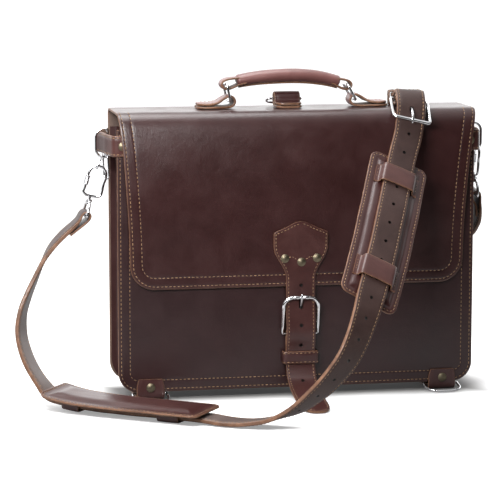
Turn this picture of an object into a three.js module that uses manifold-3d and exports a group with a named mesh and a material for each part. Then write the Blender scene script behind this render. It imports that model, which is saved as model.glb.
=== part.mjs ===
// Leather satchel with a flap, one buckled closure strap, a carrying handle and a clip-on
// shoulder strap that hangs over the front and lies partly on the floor.
// Frame: centred on the bag, X to the right, Y to the back, Z up from the floor, millimetres.
// The finished group is shifted so that its bounding box's bottom centre is the origin.
import * as THREE from "three";
import { mergeVertices } from "three/addons/utils/BufferGeometryUtils.js";
import ManifoldModule from "manifold-3d";

const manifold = await ManifoldModule();
manifold.setup();

// ---------- driving dimensions ----------
const BAG_W = 400; // panel width
const BAG_D = 76; // outer face of the front panel to outer face of the back panel
const PANEL_BOTTOM = 9; // lower edge of the panels
const PANEL_T = 3.2; // panel and flap leather
const PANEL_CORNER_R = 22; // lower corners of the panels
const FRONT_TOP = 298; // top edge of the front panel
const BACK_TOP = 312; // top edge of the back panel, where the flap folds
const TOP_Z = 317; // top face of the flap
const LAYER_GAP = 0.3; // clearance between stacked layers

const GUSSET_T = 2.4;
const GUSSET_INSET = 11; // web of the gusset to the panel's edge
const GUSSET_TOP = 296;
const GUSSET_CORNER_R = 14;
const FLANGE_W = 9.6;
const FLANGE_Y = BAG_D / 2 - PANEL_T - LAYER_GAP; // outer face of the gusset's flanges

const FLAP_END = 123; // lower edge of the flap
const FLAP_CORNER_R = 27; // lower corners of the flap
const FLAP_END_Y = -41.2; // middle of the flap's leather at its lower edge
const FLAP_END_HALF = 186.8; // half width above the lower corners

const TAB_T = 2.6; // leather of all D-ring and handle tabs
const SIDE_Z = 281; // height of the side tabs
const SIDE_RIVET_X = 194;
const BOTTOM_X = 165; // middle of the bottom tabs
const BOTTOM_RIVET_Z = 14.5;
const RIVET_CAP_R = 4.9;
const RIVET_HOLE_R = 1.9;
const RING_R = 1.4; // wire radius of the D-rings

const CLOSURE_X = 2; // centreline of the closure
const CLOSURE_HALF = 16.25; // half width of the closure strap
const CLOSURE_T = 3;
const HOLE_R = 2.2; // punched holes in both straps

const STRAP_T = 4.6; // shoulder strap, two layers
const STRAP_FOLD_T = STRAP_T / 2; // one layer
const PAD_HALF = 33.5; // half width of the shoulder pads
const PAD_CORNER_R = 9;
const PAD_OFFSET = 6.8; // pad's middle layer to the strap's middle

// ---------- directions and placing ----------
const vec = (x, y, z) => new THREE.Vector3(x, y, z);
const unit = (x, y, z) => vec(x, y, z).normalize();
const RIGHT = vec(1, 0, 0);
const BACK = vec(0, 1, 0);
const UP = vec(0, 0, 1);
const SIDES = [
  ["left", -1],
  ["right", 1],
];

const inYZ = (x) => (y, z) => vec(x, y, z);
const inXZ = (y) => (x, z) => vec(x, y, z);
const inXY = (z) => (x, y) => vec(x, y, z);

// origin moved by two distances along two directions
const offset = (origin, dirA, distA, dirB, distB) =>
  origin.clone().addScaledVector(dirA, distA).addScaledVector(dirB, distB);

// points of an arc in a plane, angles in degrees
function arc(x, y, radius, from, to, steps) {
  return Array.from({ length: steps + 1 }, (_, i) => {
    const angle = THREE.MathUtils.degToRad(from + ((to - from) * i) / steps);
    return [x + radius * Math.cos(angle), y + radius * Math.sin(angle)];
  });
}

// closed outline of a ring: straight bar at 0, far side at depth
function ringOutline(half, depth, farR, farSteps = 5, barR = 1.5, barSteps = 2) {
  return [
    ...arc(-half + barR, barR, barR, 180, 270, barSteps),
    ...arc(half - barR, barR, barR, 270, 360, barSteps),
    ...arc(half - farR, depth - farR, farR, 0, 90, farSteps),
    ...arc(-half + farR, depth - farR, farR, 90, 180, farSteps),
  ];
}

// ---------- solids ----------
function toSolid(geometry) {
  const merged = mergeVertices(geometry, 1e-4);
  const triangles = new Uint32Array(merged.index.array);
  const make = () =>
    new manifold.Manifold(
      new manifold.Mesh({
        numProp: 3,
        vertProperties: new Float32Array(merged.attributes.position.array),
        triVerts: triangles,
      }),
    );
  const solid = make();
  if (solid.volume() >= 0) return solid;
  // inside out: turn every triangle round
  for (let i = 0; i < triangles.length; i += 3) {
    [triangles[i + 1], triangles[i + 2]] = [triangles[i + 2], triangles[i + 1]];
  }
  return make();
}

function solidFromPoints(points, indices) {
  const geometry = new THREE.BufferGeometry();
  const coords = points.flatMap((point) => point.toArray());
  geometry.setAttribute("position", new THREE.Float32BufferAttribute(coords, 3));
  geometry.setIndex(indices);
  return toSolid(geometry);
}

// rings: arrays of points, all of one length; joined in order, capped unless closed
function skin(rings, closed = false) {
  const size = rings[0].length;
  const spans = closed ? rings.length : rings.length - 1;
  const indices = [];
  for (let i = 0; i < spans; i++) {
    const here = i * size;
    const next = ((i + 1) % rings.length) * size;
    for (let j = 0; j < size; j++) {
      const k = (j + 1) % size;
      indices.push(here + j, here + k, next + k, here + j, next + k, next + j);
    }
  }
  if (!closed) {
    const end = (rings.length - 1) * size;
    for (let j = 1; j < size - 1; j++) {
      indices.push(0, j + 1, j);
      indices.push(end, end + j, end + j + 1);
    }
  }
  return solidFromPoints(rings.flat(), indices);
}

function tangents(points, closed = false) {
  const count = points.length;
  return points.map((_, i) => {
    const before = closed ? (i + count - 1) % count : Math.max(0, i - 1);
    const after = closed ? (i + 1) % count : Math.min(count - 1, i + 1);
    return points[after].clone().sub(points[before]).normalize();
  });
}

// direction made square to a unit tangent
const squareTo = (direction, tangent) =>
  direction.clone().addScaledVector(tangent, -direction.dot(tangent)).normalize();

// stations {centre, width, ...} to frames, normal = tangent x width
function pathFrames(stations, closed = false) {
  const along = tangents(
    stations.map((station) => station.centre),
    closed,
  );
  return stations.map(({ centre, width: rough }, i) => {
    const tangent = along[i];
    const width = squareTo(rough, tangent);
    return { centre, tangent, width, normal: tangent.clone().cross(width) };
  });
}

// flat band through stations {centre, width, half, thick}
function band(stations, closed = false) {
  const rings = pathFrames(stations, closed).map(({ centre, width, normal }, i) => {
    const { half, thick } = stations[i];
    return [
      [-half, thick / 2],
      [-half, -thick / 2],
      [half, -thick / 2],
      [half, thick / 2],
    ].map(([across, out]) => offset(centre, width, across, normal, out));
  });
  return skin(rings, closed);
}

// band whose path lies in one plane; a row is two plane coordinates and,
// where the width varies, its own half width
function planeBand(rows, place, width, { thick, half, closed }) {
  const stations = rows.map(([first, second, rowHalf = half]) => ({
    centre: place(first, second),
    width,
    half: rowHalf,
    thick,
  }));
  return band(stations, closed);
}

function ellipse(centre, dirA, radiusA, dirB, radiusB, sides) {
  return Array.from({ length: sides }, (_, j) => {
    const angle = (2 * Math.PI * (j + 0.5)) / sides;
    return offset(
      centre,
      dirA,
      radiusA * Math.cos(angle),
      dirB,
      radiusB * Math.sin(angle),
    );
  });
}

// round wire; radius is one number or one per point,
// reference is a direction never parallel to the wire
function wire(points, radius, reference, sides = 6, closed = false) {
  const along = tangents(points, closed);
  const rings = points.map((point, i) => {
    const dirA = squareTo(reference, along[i]);
    const dirB = along[i].clone().cross(dirA);
    const own = Array.isArray(radius) ? radius[i] : radius;
    return ellipse(point, dirA, own, dirB, own, sides);
  });
  return skin(rings, closed);
}

// closed wire along a plane outline of [across, out] points
function ringWire(outline, origin, acrossDir, outDir, radius, sides = 6) {
  const points = outline.map(([across, out]) =>
    offset(origin, acrossDir, across, outDir, out),
  );
  return wire(points, radius, acrossDir.clone().cross(outDir), sides, true);
}

// body of revolution, profile [radius, height] with radius 0 only at its two ends
function lathe(profile, sides, origin, axis) {
  const turn = new THREE.Quaternion().setFromUnitVectors(UP, axis.clone().normalize());
  const points = [];
  const indices = [];
  const put = (radius, height, angle) => {
    const point = vec(radius * Math.cos(angle), radius * Math.sin(angle), height);
    points.push(point.applyQuaternion(turn).add(origin));
    return points.length - 1;
  };
  const first = put(0, profile[0][1], 0);
  const rows = profile
    .slice(1, -1)
    .map(([radius, height]) =>
      Array.from({ length: sides }, (_, j) => put(radius, height, (2 * Math.PI * j) / sides)),
    );
  const last = put(0, profile.at(-1)[1], 0);
  const end = rows.at(-1);
  for (let j = 0; j < sides; j++) {
    const k = (j + 1) % sides;
    indices.push(first, rows[0][k], rows[0][j]);
    for (let i = 0; i + 1 < rows.length; i++) {
      const low = rows[i];
      const high = rows[i + 1];
      indices.push(low[j], low[k], high[k], low[j], high[k], high[j]);
    }
    indices.push(last, end[j], end[k]);
  }
  return solidFromPoints(points, indices);
}

// cylinder between two points
function rod(start, end, radius, sides = 8) {
  const axis = end.clone().sub(start);
  const profile = [
    [0, 0],
    [radius, 0],
    [radius, axis.length()],
    [0, axis.length()],
  ];
  return lathe(profile, sides, start, axis);
}

// each span is [low, high]
function box(...spans) {
  const sizes = spans.map(([low, high]) => high - low);
  const middles = spans.map(([low, high]) => (low + high) / 2);
  const geometry = new THREE.BoxGeometry(...sizes).translate(...middles);
  // corners merge only when nothing but their positions is left
  geometry.deleteAttribute("normal");
  geometry.deleteAttribute("uv");
  return toSolid(geometry);
}

// ---------- materials and group ----------
const softMaterial = (color) =>
  new THREE.MeshStandardMaterial({ color, roughness: 0.6, metalness: 0 });
const metalMaterial = (color) =>
  new THREE.MeshStandardMaterial({ color, roughness: 0.25, metalness: 1 });
const MATERIALS = {
  leather: softMaterial(0x4b2a2c),
  dark: softMaterial(0x3a2628),
  strap: softMaterial(0x4d3c39),
  lining: softMaterial(0x5a4436),
  chrome: metalMaterial(0xc8cacc),
  rivet: metalMaterial(0x7d7660),
};

const group = new THREE.Group();

function add(name, solid, material) {
  const { vertProperties, triVerts } = solid.getMesh();
  const geometry = new THREE.BufferGeometry();
  geometry.setAttribute(
    "position",
    new THREE.BufferAttribute(new Float32Array(vertProperties), 3),
  );
  geometry.setIndex(new THREE.BufferAttribute(new Uint32Array(triVerts), 1));
  geometry.computeVertexNormals();
  const mesh = new THREE.Mesh(geometry, MATERIALS[material]);
  mesh.name = name;
  group.add(mesh);
}

// ---------- shell ----------
// upright sheet with rounded lower corners, y at its middle
function sheet({ y, bottom, cornerR, half, top, thick }) {
  const steps = 6;
  const rows = [];
  for (let i = 0; i <= steps; i++) {
    const angle = ((i / steps) * Math.PI) / 2;
    rows.push([
      y,
      bottom + cornerR * (1 - Math.cos(angle)),
      half - cornerR + cornerR * Math.sin(angle),
    ]);
  }
  rows.push([y, top, half]);
  return planeBand(rows, inYZ(0), RIGHT, { thick });
}

// holes for the tab rivets, on the front (-1), the back (1) or both
function punchRivets(solid, faces = [-1, 1]) {
  const spots = SIDES.flatMap(([, side]) => [
    [side * BOTTOM_X, BOTTOM_RIVET_Z],
    [side * SIDE_RIVET_X, SIDE_Z],
  ]);
  let punched = solid;
  for (const face of faces) {
    for (const [x, z] of spots) {
      const hole = rod(vec(x, face * 30, z), vec(x, face * 46, z), RIVET_HOLE_R);
      punched = punched.subtract(hole);
    }
  }
  return punched;
}

function panel(face, top) {
  const solid = sheet({
    y: (face * (BAG_D - PANEL_T)) / 2,
    bottom: PANEL_BOTTOM,
    cornerR: PANEL_CORNER_R,
    half: BAG_W / 2,
    top,
    thick: PANEL_T,
  });
  return punchRivets(solid, [face]);
}

// one U-shaped strip; its two edges are turned outwards against the panels
function gusset() {
  const half = BAG_W / 2 - GUSSET_INSET;
  const cornerX = half - GUSSET_CORNER_R;
  const cornerZ = PANEL_BOTTOM + GUSSET_INSET + GUSSET_CORNER_R;
  const uPath = (outset) => [
    [-half - outset, GUSSET_TOP],
    ...arc(-cornerX, cornerZ, GUSSET_CORNER_R + outset, 180, 270, 5),
    ...arc(cornerX, cornerZ, GUSSET_CORNER_R + outset, 270, 360, 5),
    [half + outset, GUSSET_TOP],
  ];
  let solid = planeBand(uPath(0), inXZ(0), BACK, { half: FLANGE_Y, thick: GUSSET_T });
  for (const face of [-1, 1]) {
    const y = face * (FLANGE_Y - GUSSET_T / 2);
    const points = uPath(FLANGE_W / 2).map(([x, z]) => vec(x, y, z));
    const along = tangents(points);
    const flange = points.map((centre, i) => ({
      centre,
      width: along[i].clone().cross(BACK),
      half: FLANGE_W / 2 + 0.4,
      thick: GUSSET_T,
    }));
    solid = solid.add(band(flange));
  }
  return punchRivets(solid);
}

const innerDivider = () =>
  sheet({
    y: 4,
    bottom: 23,
    cornerR: 14,
    half: BAG_W / 2 - GUSSET_INSET - 1.9,
    top: 268,
    thick: 2.4,
  });

// shallow pocket on the divider's front, open at the top
const innerPocket = () =>
  box([-95, 95], [-2, 2.5], [70, 200]).subtract(box([-91, 91], [0.2, 3.5], [74, 210]));

add("front_panel", panel(-1, FRONT_TOP), "leather");
add("back_panel", panel(1, BACK_TOP), "leather");
add("gusset", gusset(), "dark");
add("inner_divider", innerDivider(), "lining");
add("inner_pocket", innerPocket(), "lining");

// ---------- side and bottom D-rings ----------
// [x, y] of the right side tab, from the front face round the side to the back face
const SIDE_TAB_PATH = [
  [184, -39.9], [192, -39.9], [197, -39.9], [203, -38.8], [205.8, -30],
  [208.2, -15], [209.2, 0], [210.9, 12], [213, 22], [209.5, 33],
  [203, 38.8], [197, 39.9], [184, 39.9],
];
// [y, z] of a bottom tab, from the front face under the bag to the back face
const BOTTOM_TAB_PATH = [
  [-39.9, 24], [-39.9, 9], [-39.2, 4.2], [-36, 1.7], [-20, 1.4],
  [20, 1.4], [36, 1.7], [39.2, 4.2], [39.9, 9], [39.9, 24],
];
// [radius, height outwards from the shank's inner end]: burr, shank, domed cap
const TAB_RIVET_PROFILE = [
  [0, -1.2],
  [2.8, -1.2],
  [2.8, 0],
  [1.5, 0],
  [1.5, 9.7],
  [RIVET_CAP_R, 9.7],
  [RIVET_CAP_R * 0.86, 10.9],
  [RIVET_CAP_R * 0.45, 11.7],
  [0, 11.9],
];

function sideTab(side) {
  const path = SIDE_TAB_PATH.map(([x, y]) => [side * x, y]);
  return punchRivets(planeBand(path, inXY(SIDE_Z), UP, { half: 11.5, thick: TAB_T }));
}

function bottomTab(side) {
  const place = inYZ(side * BOTTOM_X);
  return punchRivets(planeBand(BOTTOM_TAB_PATH, place, RIGHT, { half: 15.5, thick: TAB_T }));
}

function tabRivet(x, z, face) {
  const innerEnd = FLANGE_Y - GUSSET_T - LAYER_GAP;
  return lathe(TAB_RIVET_PROFILE, 8, vec(x, face * innerEnd, z), vec(0, face, 0));
}

const sideRing = (side) =>
  ringWire(ringOutline(15.4, 13, 8.5), vec(side * 205, 0, SIDE_Z), UP, vec(side, 0, 0), RING_R);

// stands out to the front, a little below level
const bottomRing = (side) =>
  ringWire(
    ringOutline(19, 24.5, 13),
    vec(side * BOTTOM_X, -34, 6.4),
    RIGHT,
    unit(0, -0.985, -0.174),
    RING_R,
  );

for (const [name, side] of SIDES) {
  add(`side_tab_${name}`, sideTab(side), "leather");
  add(`bottom_tab_${name}`, bottomTab(side), "leather");
  for (const [faceName, face] of [
    ["front", -1],
    ["back", 1],
  ]) {
    const sideRivet = tabRivet(side * SIDE_RIVET_X, SIDE_Z, face);
    const bottomRivet = tabRivet(side * BOTTOM_X, BOTTOM_RIVET_Z, face);
    add(`side_rivet_${name}_${faceName}`, sideRivet, "rivet");
    add(`bottom_rivet_${name}_${faceName}`, bottomRivet, "rivet");
  }
  add(`side_d_ring_${name}`, sideRing(side), "chrome");
  add(`bottom_d_ring_${name}`, bottomRing(side), "chrome");
}

// ---------- flap ----------
const FLAP_TOP_MID = TOP_Z - PANEL_T / 2;
// [y, z, half width] from the back edge over the top and down the front
const flapPath = [
  [36.6, BACK_TOP + 0.5, BAG_W / 2],
  [36.3, 313.8, BAG_W / 2],
  [35, 314.9, BAG_W / 2],
  [32, FLAP_TOP_MID, BAG_W / 2],
  [0, FLAP_TOP_MID, BAG_W / 2],
  [-34, FLAP_TOP_MID, BAG_W / 2],
  [-40, 313.8, 199.6],
  [-44.4, 309.5, 198.8],
  [-46.1, 302, 197.6],
  [-46.1, 285, 195.6],
  [-45.2, 260, 193],
  [-43.6, 230, 190.6],
  [-42.3, 200, 188.6],
  [-41.5, 170, 187.3],
  [FLAP_END_Y, FLAP_END + FLAP_CORNER_R, FLAP_END_HALF],
];
const FLAP_CORNER_STEPS = 6;
for (let i = 1; i <= FLAP_CORNER_STEPS; i++) {
  const angle = ((i / FLAP_CORNER_STEPS) * Math.PI) / 2;
  flapPath.push([
    FLAP_END_Y,
    FLAP_END + FLAP_CORNER_R * (1 - Math.sin(angle)),
    FLAP_END_HALF - FLAP_CORNER_R + FLAP_CORNER_R * Math.cos(angle),
  ]);
}

// y of the middle of the flap's front part at a height
function flapY(z) {
  const i = flapPath.findIndex(([, pathZ]) => pathZ <= z);
  const [upperY, upperZ] = flapPath[i - 1];
  const [lowerY, lowerZ] = flapPath[i];
  return THREE.MathUtils.mapLinear(z, upperZ, lowerZ, upperY, lowerY);
}

// [name, x, z]
const CLOSURE_RIVETS = [
  ["left", -16, 154.6],
  ["middle", 2.5, 150.3],
  ["right", 20, 154.4],
];

function punchClosureRivets(solid, frontY) {
  return CLOSURE_RIVETS.reduce(
    (punched, [, x, z]) =>
      punched.subtract(rod(vec(x, frontY, z), vec(x, -36, z), RIVET_HOLE_R)),
    solid,
  );
}

const flap = planeBand(flapPath, inYZ(0), RIGHT, { thick: PANEL_T });
add("flap", punchClosureRivets(flap, -46), "leather");

// ---------- closure strap ----------
// middle of the closure strap where it lies on the flap
const closureY = (z) => flapY(z) - PANEL_T / 2 - 0.35 - CLOSURE_T / 2;
// [z, half width] of the part on the flap, from its pointed upper end
const CLOSURE_ON_FLAP = [
  [195.3, 1.2], [192.6, 5], [189.2, 13], [186, 22], [183.6, 29.6], [182, 30.6],
  [165, 30.5], [158, 29], [150, 24], [142, 18.6], [135, CLOSURE_HALF], [125, CLOSURE_HALF],
];
// [y, z, half width where it is not CLOSURE_HALF] from the flap's edge through the
// buckle to the free end, which sticks out to the front near the floor
const CLOSURE_BELOW_FLAP = [
  [-44.6, 118], [-44.5, 111], [-45.2, 104], [-45.9, 97], [-46.9, 88],
  [-47.9, 78], [-48.1, 70], [-47.5, 64], [-45.8, 58], [-44.7, 52],
  [-44.6, 44], [-44.9, 35], [-47.5, 28], [-53, 21.5], [-62, 16],
  [-76, 11], [-92, 7.6], [-108, 5.2], [-124, 3.6], [-138, 2.6],
  [-143.5, 2.3, 14], [-147, 2.2, 9],
];

function closureStrap() {
  const rows = [
    ...CLOSURE_ON_FLAP.map(([z, half]) => [closureY(z), z, half]),
    ...CLOSURE_BELOW_FLAP,
  ];
  const place = inYZ(CLOSURE_X);
  let solid = planeBand(rows, place, RIGHT, { half: CLOSURE_HALF, thick: CLOSURE_T });
  solid = punchClosureRivets(solid, -52);
  for (const z of [80, 57.5]) {
    solid = solid.subtract(rod(place(-56, z), place(-36, z), HOLE_R));
  }
  // the slot the prong comes through
  const slot = box([CLOSURE_X - 2.3, CLOSURE_X + 2.3], [-56, -36], [91.2, 110]);
  const tailHole = rod(place(-64, 34), place(-52, 4), HOLE_R);
  return solid.subtract(slot).subtract(tailHole);
}

// burr behind the flap, shank, domed cap on the closure strap
function closureRivet(x, z) {
  const start = flapY(z) + PANEL_T / 2 + LAYER_GAP; // shank's inner end
  const reach = start - (closureY(z) - CLOSURE_T / 2); // to the strap's front face
  const profile = [
    [0, -0.7],
    [2.6, -0.7],
    [2.6, 0],
    [1.5, 0],
    [1.5, reach + LAYER_GAP],
    [4.8, reach + LAYER_GAP],
    [4.1, reach + 1.5],
    [2.1, reach + 2.2],
    [0, reach + 2.4],
  ];
  return lathe(profile, 10, vec(x, start, z), vec(0, -1, 0));
}

add("closure_strap", closureStrap(), "leather");
for (const [name, x, z] of CLOSURE_RIVETS) {
  add(`closure_rivet_${name}`, closureRivet(x, z), "rivet");
}

// ---------- buckles ----------
// the pivot bar, at 0 on the outline, is thinner than the rest of the frame
function buckleFrame(outline, pivot, width, length) {
  const radii = outline.map(([, out]) => (out < 0.2 ? 1.35 : 1.9));
  return ringWire(outline, pivot, width, length, radii, 8);
}

// an eye round the pivot bar, and a shaft that thins to its tip
function buckleProng(pivot, dirA, dirB, width, shaftPoints) {
  const eyeR = 2.55;
  const eyePoints = arc(0, 0, eyeR, 0, 330, 11).map(([distA, distB]) =>
    offset(pivot, dirA, distA, dirB, distB),
  );
  const eye = wire(eyePoints, 0.75, width, 6, true);
  return wire(shaftPoints, [1.2, 1.2, 1.2, 1.2, 1.2, 1.1, 0.8], width).add(eye);
}

// ---------- closure buckle ----------
const CLOSURE_PIVOT = vec(CLOSURE_X, -41.9, 70);
const CLOSURE_BAR = vec(CLOSURE_X, -48.8, 111); // far bar of the frame

// folded round the pivot bar, both ends hanging down on the front panel
function buckleChape() {
  const { y: pivotY, z: pivotZ } = CLOSURE_PIVOT;
  // [y, z]
  const path = [
    [-39.3, 34.6],
    [-39.3, 60],
    ...arc(pivotY, pivotZ, 2.75, 0, 180, 6),
    [-44.3, 66],
    [-43, 61.5],
    [-41.7, 57],
    [-41.4, 50],
    [-41.4, 34.6],
  ];
  const prongSlot = box([CLOSURE_X - 3.4, CLOSURE_X + 3.4], [-50, -36], [62, 80]);
  const chape = planeBand(path, inYZ(CLOSURE_X), RIGHT, { half: 16, thick: 1.8 });
  return chape.subtract(prongSlot);
}

// U-shaped loop over the strap, its open side on the front panel
function closureKeeper() {
  const half = 19.2;
  const bevel = 1.6;
  const path = [
    [-half, -39.3],
    [-half, -45.9],
    [-half + bevel, -47.5],
    [half - bevel, -47.5],
    [half, -45.9],
    [half, -39.3],
  ].map(([x, y]) => [CLOSURE_X + x, y]);
  return planeBand(path, inXY(43.7), UP, { half: 7, thick: 1.8 });
}

function closureBuckleFrame() {
  const length = CLOSURE_PIVOT.distanceTo(CLOSURE_BAR);
  const half = 19.6;
  const cornerR = 11;
  const outline = [
    [-half, 0.4],
    [-18.4, 0],
    [18.4, 0],
    [half, 0.4],
    [half, length - 12],
    ...arc(half - cornerR, length - cornerR, cornerR, 8, 90, 5),
    ...arc(-half + cornerR, length - cornerR, cornerR, 90, 172, 5),
    [-half, length - 12],
  ];
  const lengthDir = CLOSURE_BAR.clone().sub(CLOSURE_PIVOT).normalize();
  return buckleFrame(outline, CLOSURE_PIVOT, RIGHT, lengthDir);
}

function closureBuckleProng() {
  // [y, z] from the pivot bar to the tip
  const shaft = [
    [-44.2, 72.2],
    [-43.5, 80],
    [-43.5, 90],
    [-44.8, 98],
    [-48.4, 105.5],
    [-52.2, 110.5],
    [-52.6, 114.6],
  ].map(([y, z]) => vec(CLOSURE_X, y, z));
  return buckleProng(CLOSURE_PIVOT, BACK, UP, RIGHT, shaft);
}

add("buckle_chape", buckleChape(), "leather");
add("closure_keeper", closureKeeper(), "leather");
add("closure_buckle_frame", closureBuckleFrame(), "chrome");
add("closure_buckle_prong", closureBuckleProng(), "chrome");

// ---------- hook dimensions shared with the straps ----------
const HOOK_EYE_BASE = 5.8; // bottom bar of a hook to the base of its eye
const HOOK_EYE_DEPTH = 16.9; // base of the eye to the bar the strap is folded round
const RIGHT_HOOK_AXIS = unit(-0.03, 0.12, -0.992);
const RIGHT_HOOK_SIDE = unit(0, 0.9928, 0.12);
const RIGHT_HOOK_BAR = vec(212.7, 4, 238.4); // middle of its bottom bar

// ---------- shoulder strap, long part ----------
// [x, y, z, width direction x, y, z, half width] from the end on top of the bag,
// down in front to the floor, and up to the left hook
const STRAP_LONG = [
  [133.8, 24, 328, 0.99, -0.14, 0, 13],
  [132.2, 12, 328.4, 0.99, -0.14, 0, 16],
  [130.3, -6, 329.8, 0.99, -0.14, -0.02, 16],
  [128.6, -20, 333.7, 0.99, -0.135, -0.06, 16],
  [127.2, -31, 334.6, 0.99, -0.13, -0.09, 16],
  [125.6, -41.5, 330.8, 0.985, -0.11, -0.11, 16],
  [124.2, -49.5, 322.8, 0.985, -0.08, -0.13, 16],
  [123, -54, 314.3, 0.98, -0.048, -0.192, 16],
  [117.9, -62.6, 290.3, 0.957, -0.037, -0.288, 16],
  [109.2, -76.2, 271.3, 0.919, -0.045, -0.391, 16],
  [101, -92.3, 254, 0.916, -0.046, -0.399, 16],
  [93, -109.5, 237.6, 0.916, -0.046, -0.398, 16],
  [85.1, -127, 221.4, 0.918, -0.046, -0.394, 16],
  [76.8, -143.6, 204, 0.914, -0.026, -0.405, 16],
  [68.8, -160.1, 186.8, 0.91, -0.026, -0.414, 16],
  [60, -176.1, 169.3, 0.9, -0.02, -0.43, 16],
  [51.2, -192.2, 152, 0.89, 0, -0.45, 16],
  [41.9, -208, 134.9, 0.87, 0.05, -0.48, 16],
  [32.5, -221.8, 116.2, 0.8, 0.24, -0.55, 16],
  [22.4, -232.6, 96.4, 0.738, 0.37, -0.56, 16],
  [10.8, -237.9, 76.4, 0.718, 0.491, -0.493, 16],
  [-3.5, -234.4, 56.9, 0.725, 0.567, -0.391, 16],
  [-18.7, -226, 39.1, 0.693, 0.645, -0.322, 16],
  [-36.1, -216.5, 22.8, 0.592, 0.75, -0.25, 16],
  [-59.4, -204.8, 10.6, 0.479, 0.877, -0.1, 16],
  [-82.5, -192, 4.8, 0.526, 0.846, -0.05, 16],
  [-104, -178, 3.6, 0.558, 0.83, 0, 16],
  [-124, -164.2, 5.2, 0.576, 0.817, 0, 16],
  [-143, -150.8, 5.4, 0.577, 0.817, 0, 16],
  [-165, -135.4, 5.5, 0.577, 0.817, 0, 16],
  [-205, -107.4, 5.6, 0.573, 0.819, 0, 16],
  [-240, -82.9, 7, 0.59, 0.807, 0, 16],
  [-258, -70.3, 9.4, 0.585, 0.812, 0, 16],
  [-274.5, -59, 14.2, 0.565, 0.825, 0, 16],
  [-286.5, -51.2, 28, 0.448, 0.892, -0.056, 16],
  [-297.1, -43.6, 46.5, 0.456, 0.879, -0.141, 16],
  [-303.4, -36.1, 65, 0.434, 0.866, -0.22, 16],
  [-305.1, -29.5, 82, 0.373, 0.87, -0.28, 16],
  [-302.3, -23.2, 101, 0.254, 0.888, -0.33, 16],
  [-296, -18, 117, 0.182, 0.919, -0.33, 16],
  [-288.5, -13.5, 132.9, 0.13, 0.945, -0.286, 16],
  [-277.9, -8.6, 154, 0.05, 0.972, -0.2, 16],
  [-267.6, -5.2, 169.3, -0.05, 0.989, -0.111, 16],
  [-255.8, -3.4, 181.6, -0.04, 0.995, -0.027, 15.6],
  [-244.3, -3, 191.6, 0, 1, 0, 15],
];
const STRAP_FOLD_HALF = 14.5;
const LEFT_HOOK_Y = -3;
// [x, z, thickness where it is not STRAP_FOLD_T] of the end of the strap,
// folded round the bar of the left hook's eye
const LEFT_FOLD = [
  [-238.6, 198.2, 3.2], [-235.2, 204.7], [-232, 206.9], [-228.2, 205.9], [-226.6, 202.4],
  [-227.9, 199.2], [-232.5, 194.6], [-238.2, 190.2], [-244.4, 185.6], [-249, 182],
];

const strapStation = ([x, y, z, widthX, widthY, widthZ, half, thick = STRAP_T]) => ({
  centre: vec(x, y, z),
  width: vec(widthX, widthY, widthZ),
  half,
  thick,
});
const longStations = [
  ...STRAP_LONG.map(strapStation),
  ...LEFT_FOLD.map(([x, z, thick = STRAP_FOLD_T]) => ({
    centre: vec(x, LEFT_HOOK_Y, z),
    width: BACK,
    half: STRAP_FOLD_HALF,
    thick,
  })),
];
const longFrames = pathFrames(longStations);

// frame of the long part at a fractional station number
function strapAt(position) {
  const i = Math.floor(position);
  const mix = (key) => longFrames[i][key].clone().lerp(longFrames[i + 1][key], position - i);
  const tangent = mix("tangent").normalize();
  const width = squareTo(mix("width"), tangent);
  return { centre: mix("centre"), width, normal: tangent.clone().cross(width) };
}

function strapLong() {
  let solid = band(longStations);
  // a punched hole at every station on the hanging part
  for (let i = 8; i <= 24; i++) {
    const { centre, normal } = strapAt(i);
    const start = centre.clone().addScaledVector(normal, -5);
    const end = centre.clone().addScaledVector(normal, 5);
    solid = solid.subtract(rod(start, end, HOLE_R, 6));
  }
  // the hole the prong stands in, drawn long
  return solid.subtract(box([121.4, 126.4], [-62, -44.5], [313, 323.6]));
}

add("strap_long", strapLong(), "strap");

// ---------- shoulder strap, short part ----------
// [x, y, z, width direction x, y, z, half width, thickness where it is not STRAP_T]
// from the end under the long part, forward round the buckle's pivot bar, then back
// over the bag, down behind it and round to the right hook
const STRAP_SHORT = [
  [131.9, 12, 324.5, 0.99, -0.14, 0, 15.5, 2.4],
  [129.9, -8, 325.2, 0.99, -0.14, 0, 15.5, 2.4],
  [128.4, -20, 328.6, 0.99, -0.13, -0.05, 15.5, 2.4],
  [127.8, -26, 329.9, 0.99, -0.13, -0.08, 15.5, 2.4],
  [127.2, -30.8, 328.6, 0.99, -0.13, -0.08, 15.5, 2.4],
  [127, -32.4, 325.2, 0.99, -0.13, -0.08, 15.5, 2.4],
  [127.3, -29.9, 321.8, 0.99, -0.13, -0.06, 15.5, 2.4],
  [128.2, -22, 320.7, 0.99, -0.13, -0.03, 15.5, 2.4],
  [129.7, -8, 321, 0.99, -0.14, 0, 15.8, 3],
  [131.4, 8, 321, 0.99, -0.14, 0, 16, 3.2],
  [133.4, 22, 321.4, 0.99, -0.14, 0, 16, 3],
  [134.8, 33, 320.8, 0.99, -0.1, 0, 16, 4],
  [135.8, 40, 318.6, 0.995, -0.06, 0, 16],
  [136.4, 44.8, 312.5, 1, 0, 0, 16],
  [136.8, 46.3, 300, 1, 0, 0, 16],
  [138, 47.4, 275, 1, 0, 0, 16],
  [142.5, 49.5, 245, 1, 0, 0, 16],
  [151, 53.5, 216, 0.96, 0.28, 0, 16],
  [162, 57.5, 193, 0.8, 0.6, 0, 16],
  [176, 60, 177, 0.45, 0.89, 0, 16],
  [191, 60, 170, 0.1, 0.99, 0, 16],
  [204, 56.4, 169.4, -0.1, 0.99, 0, 16],
  [212.8, 46.5, 172.5, -0.1, 0.95, 0.2, 16],
  [217, 33, 178.5, -0.05, 0.92, 0.35, 16],
  [218.2, 20, 187.5, 0, 0.96, 0.25, 15.4],
];
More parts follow.
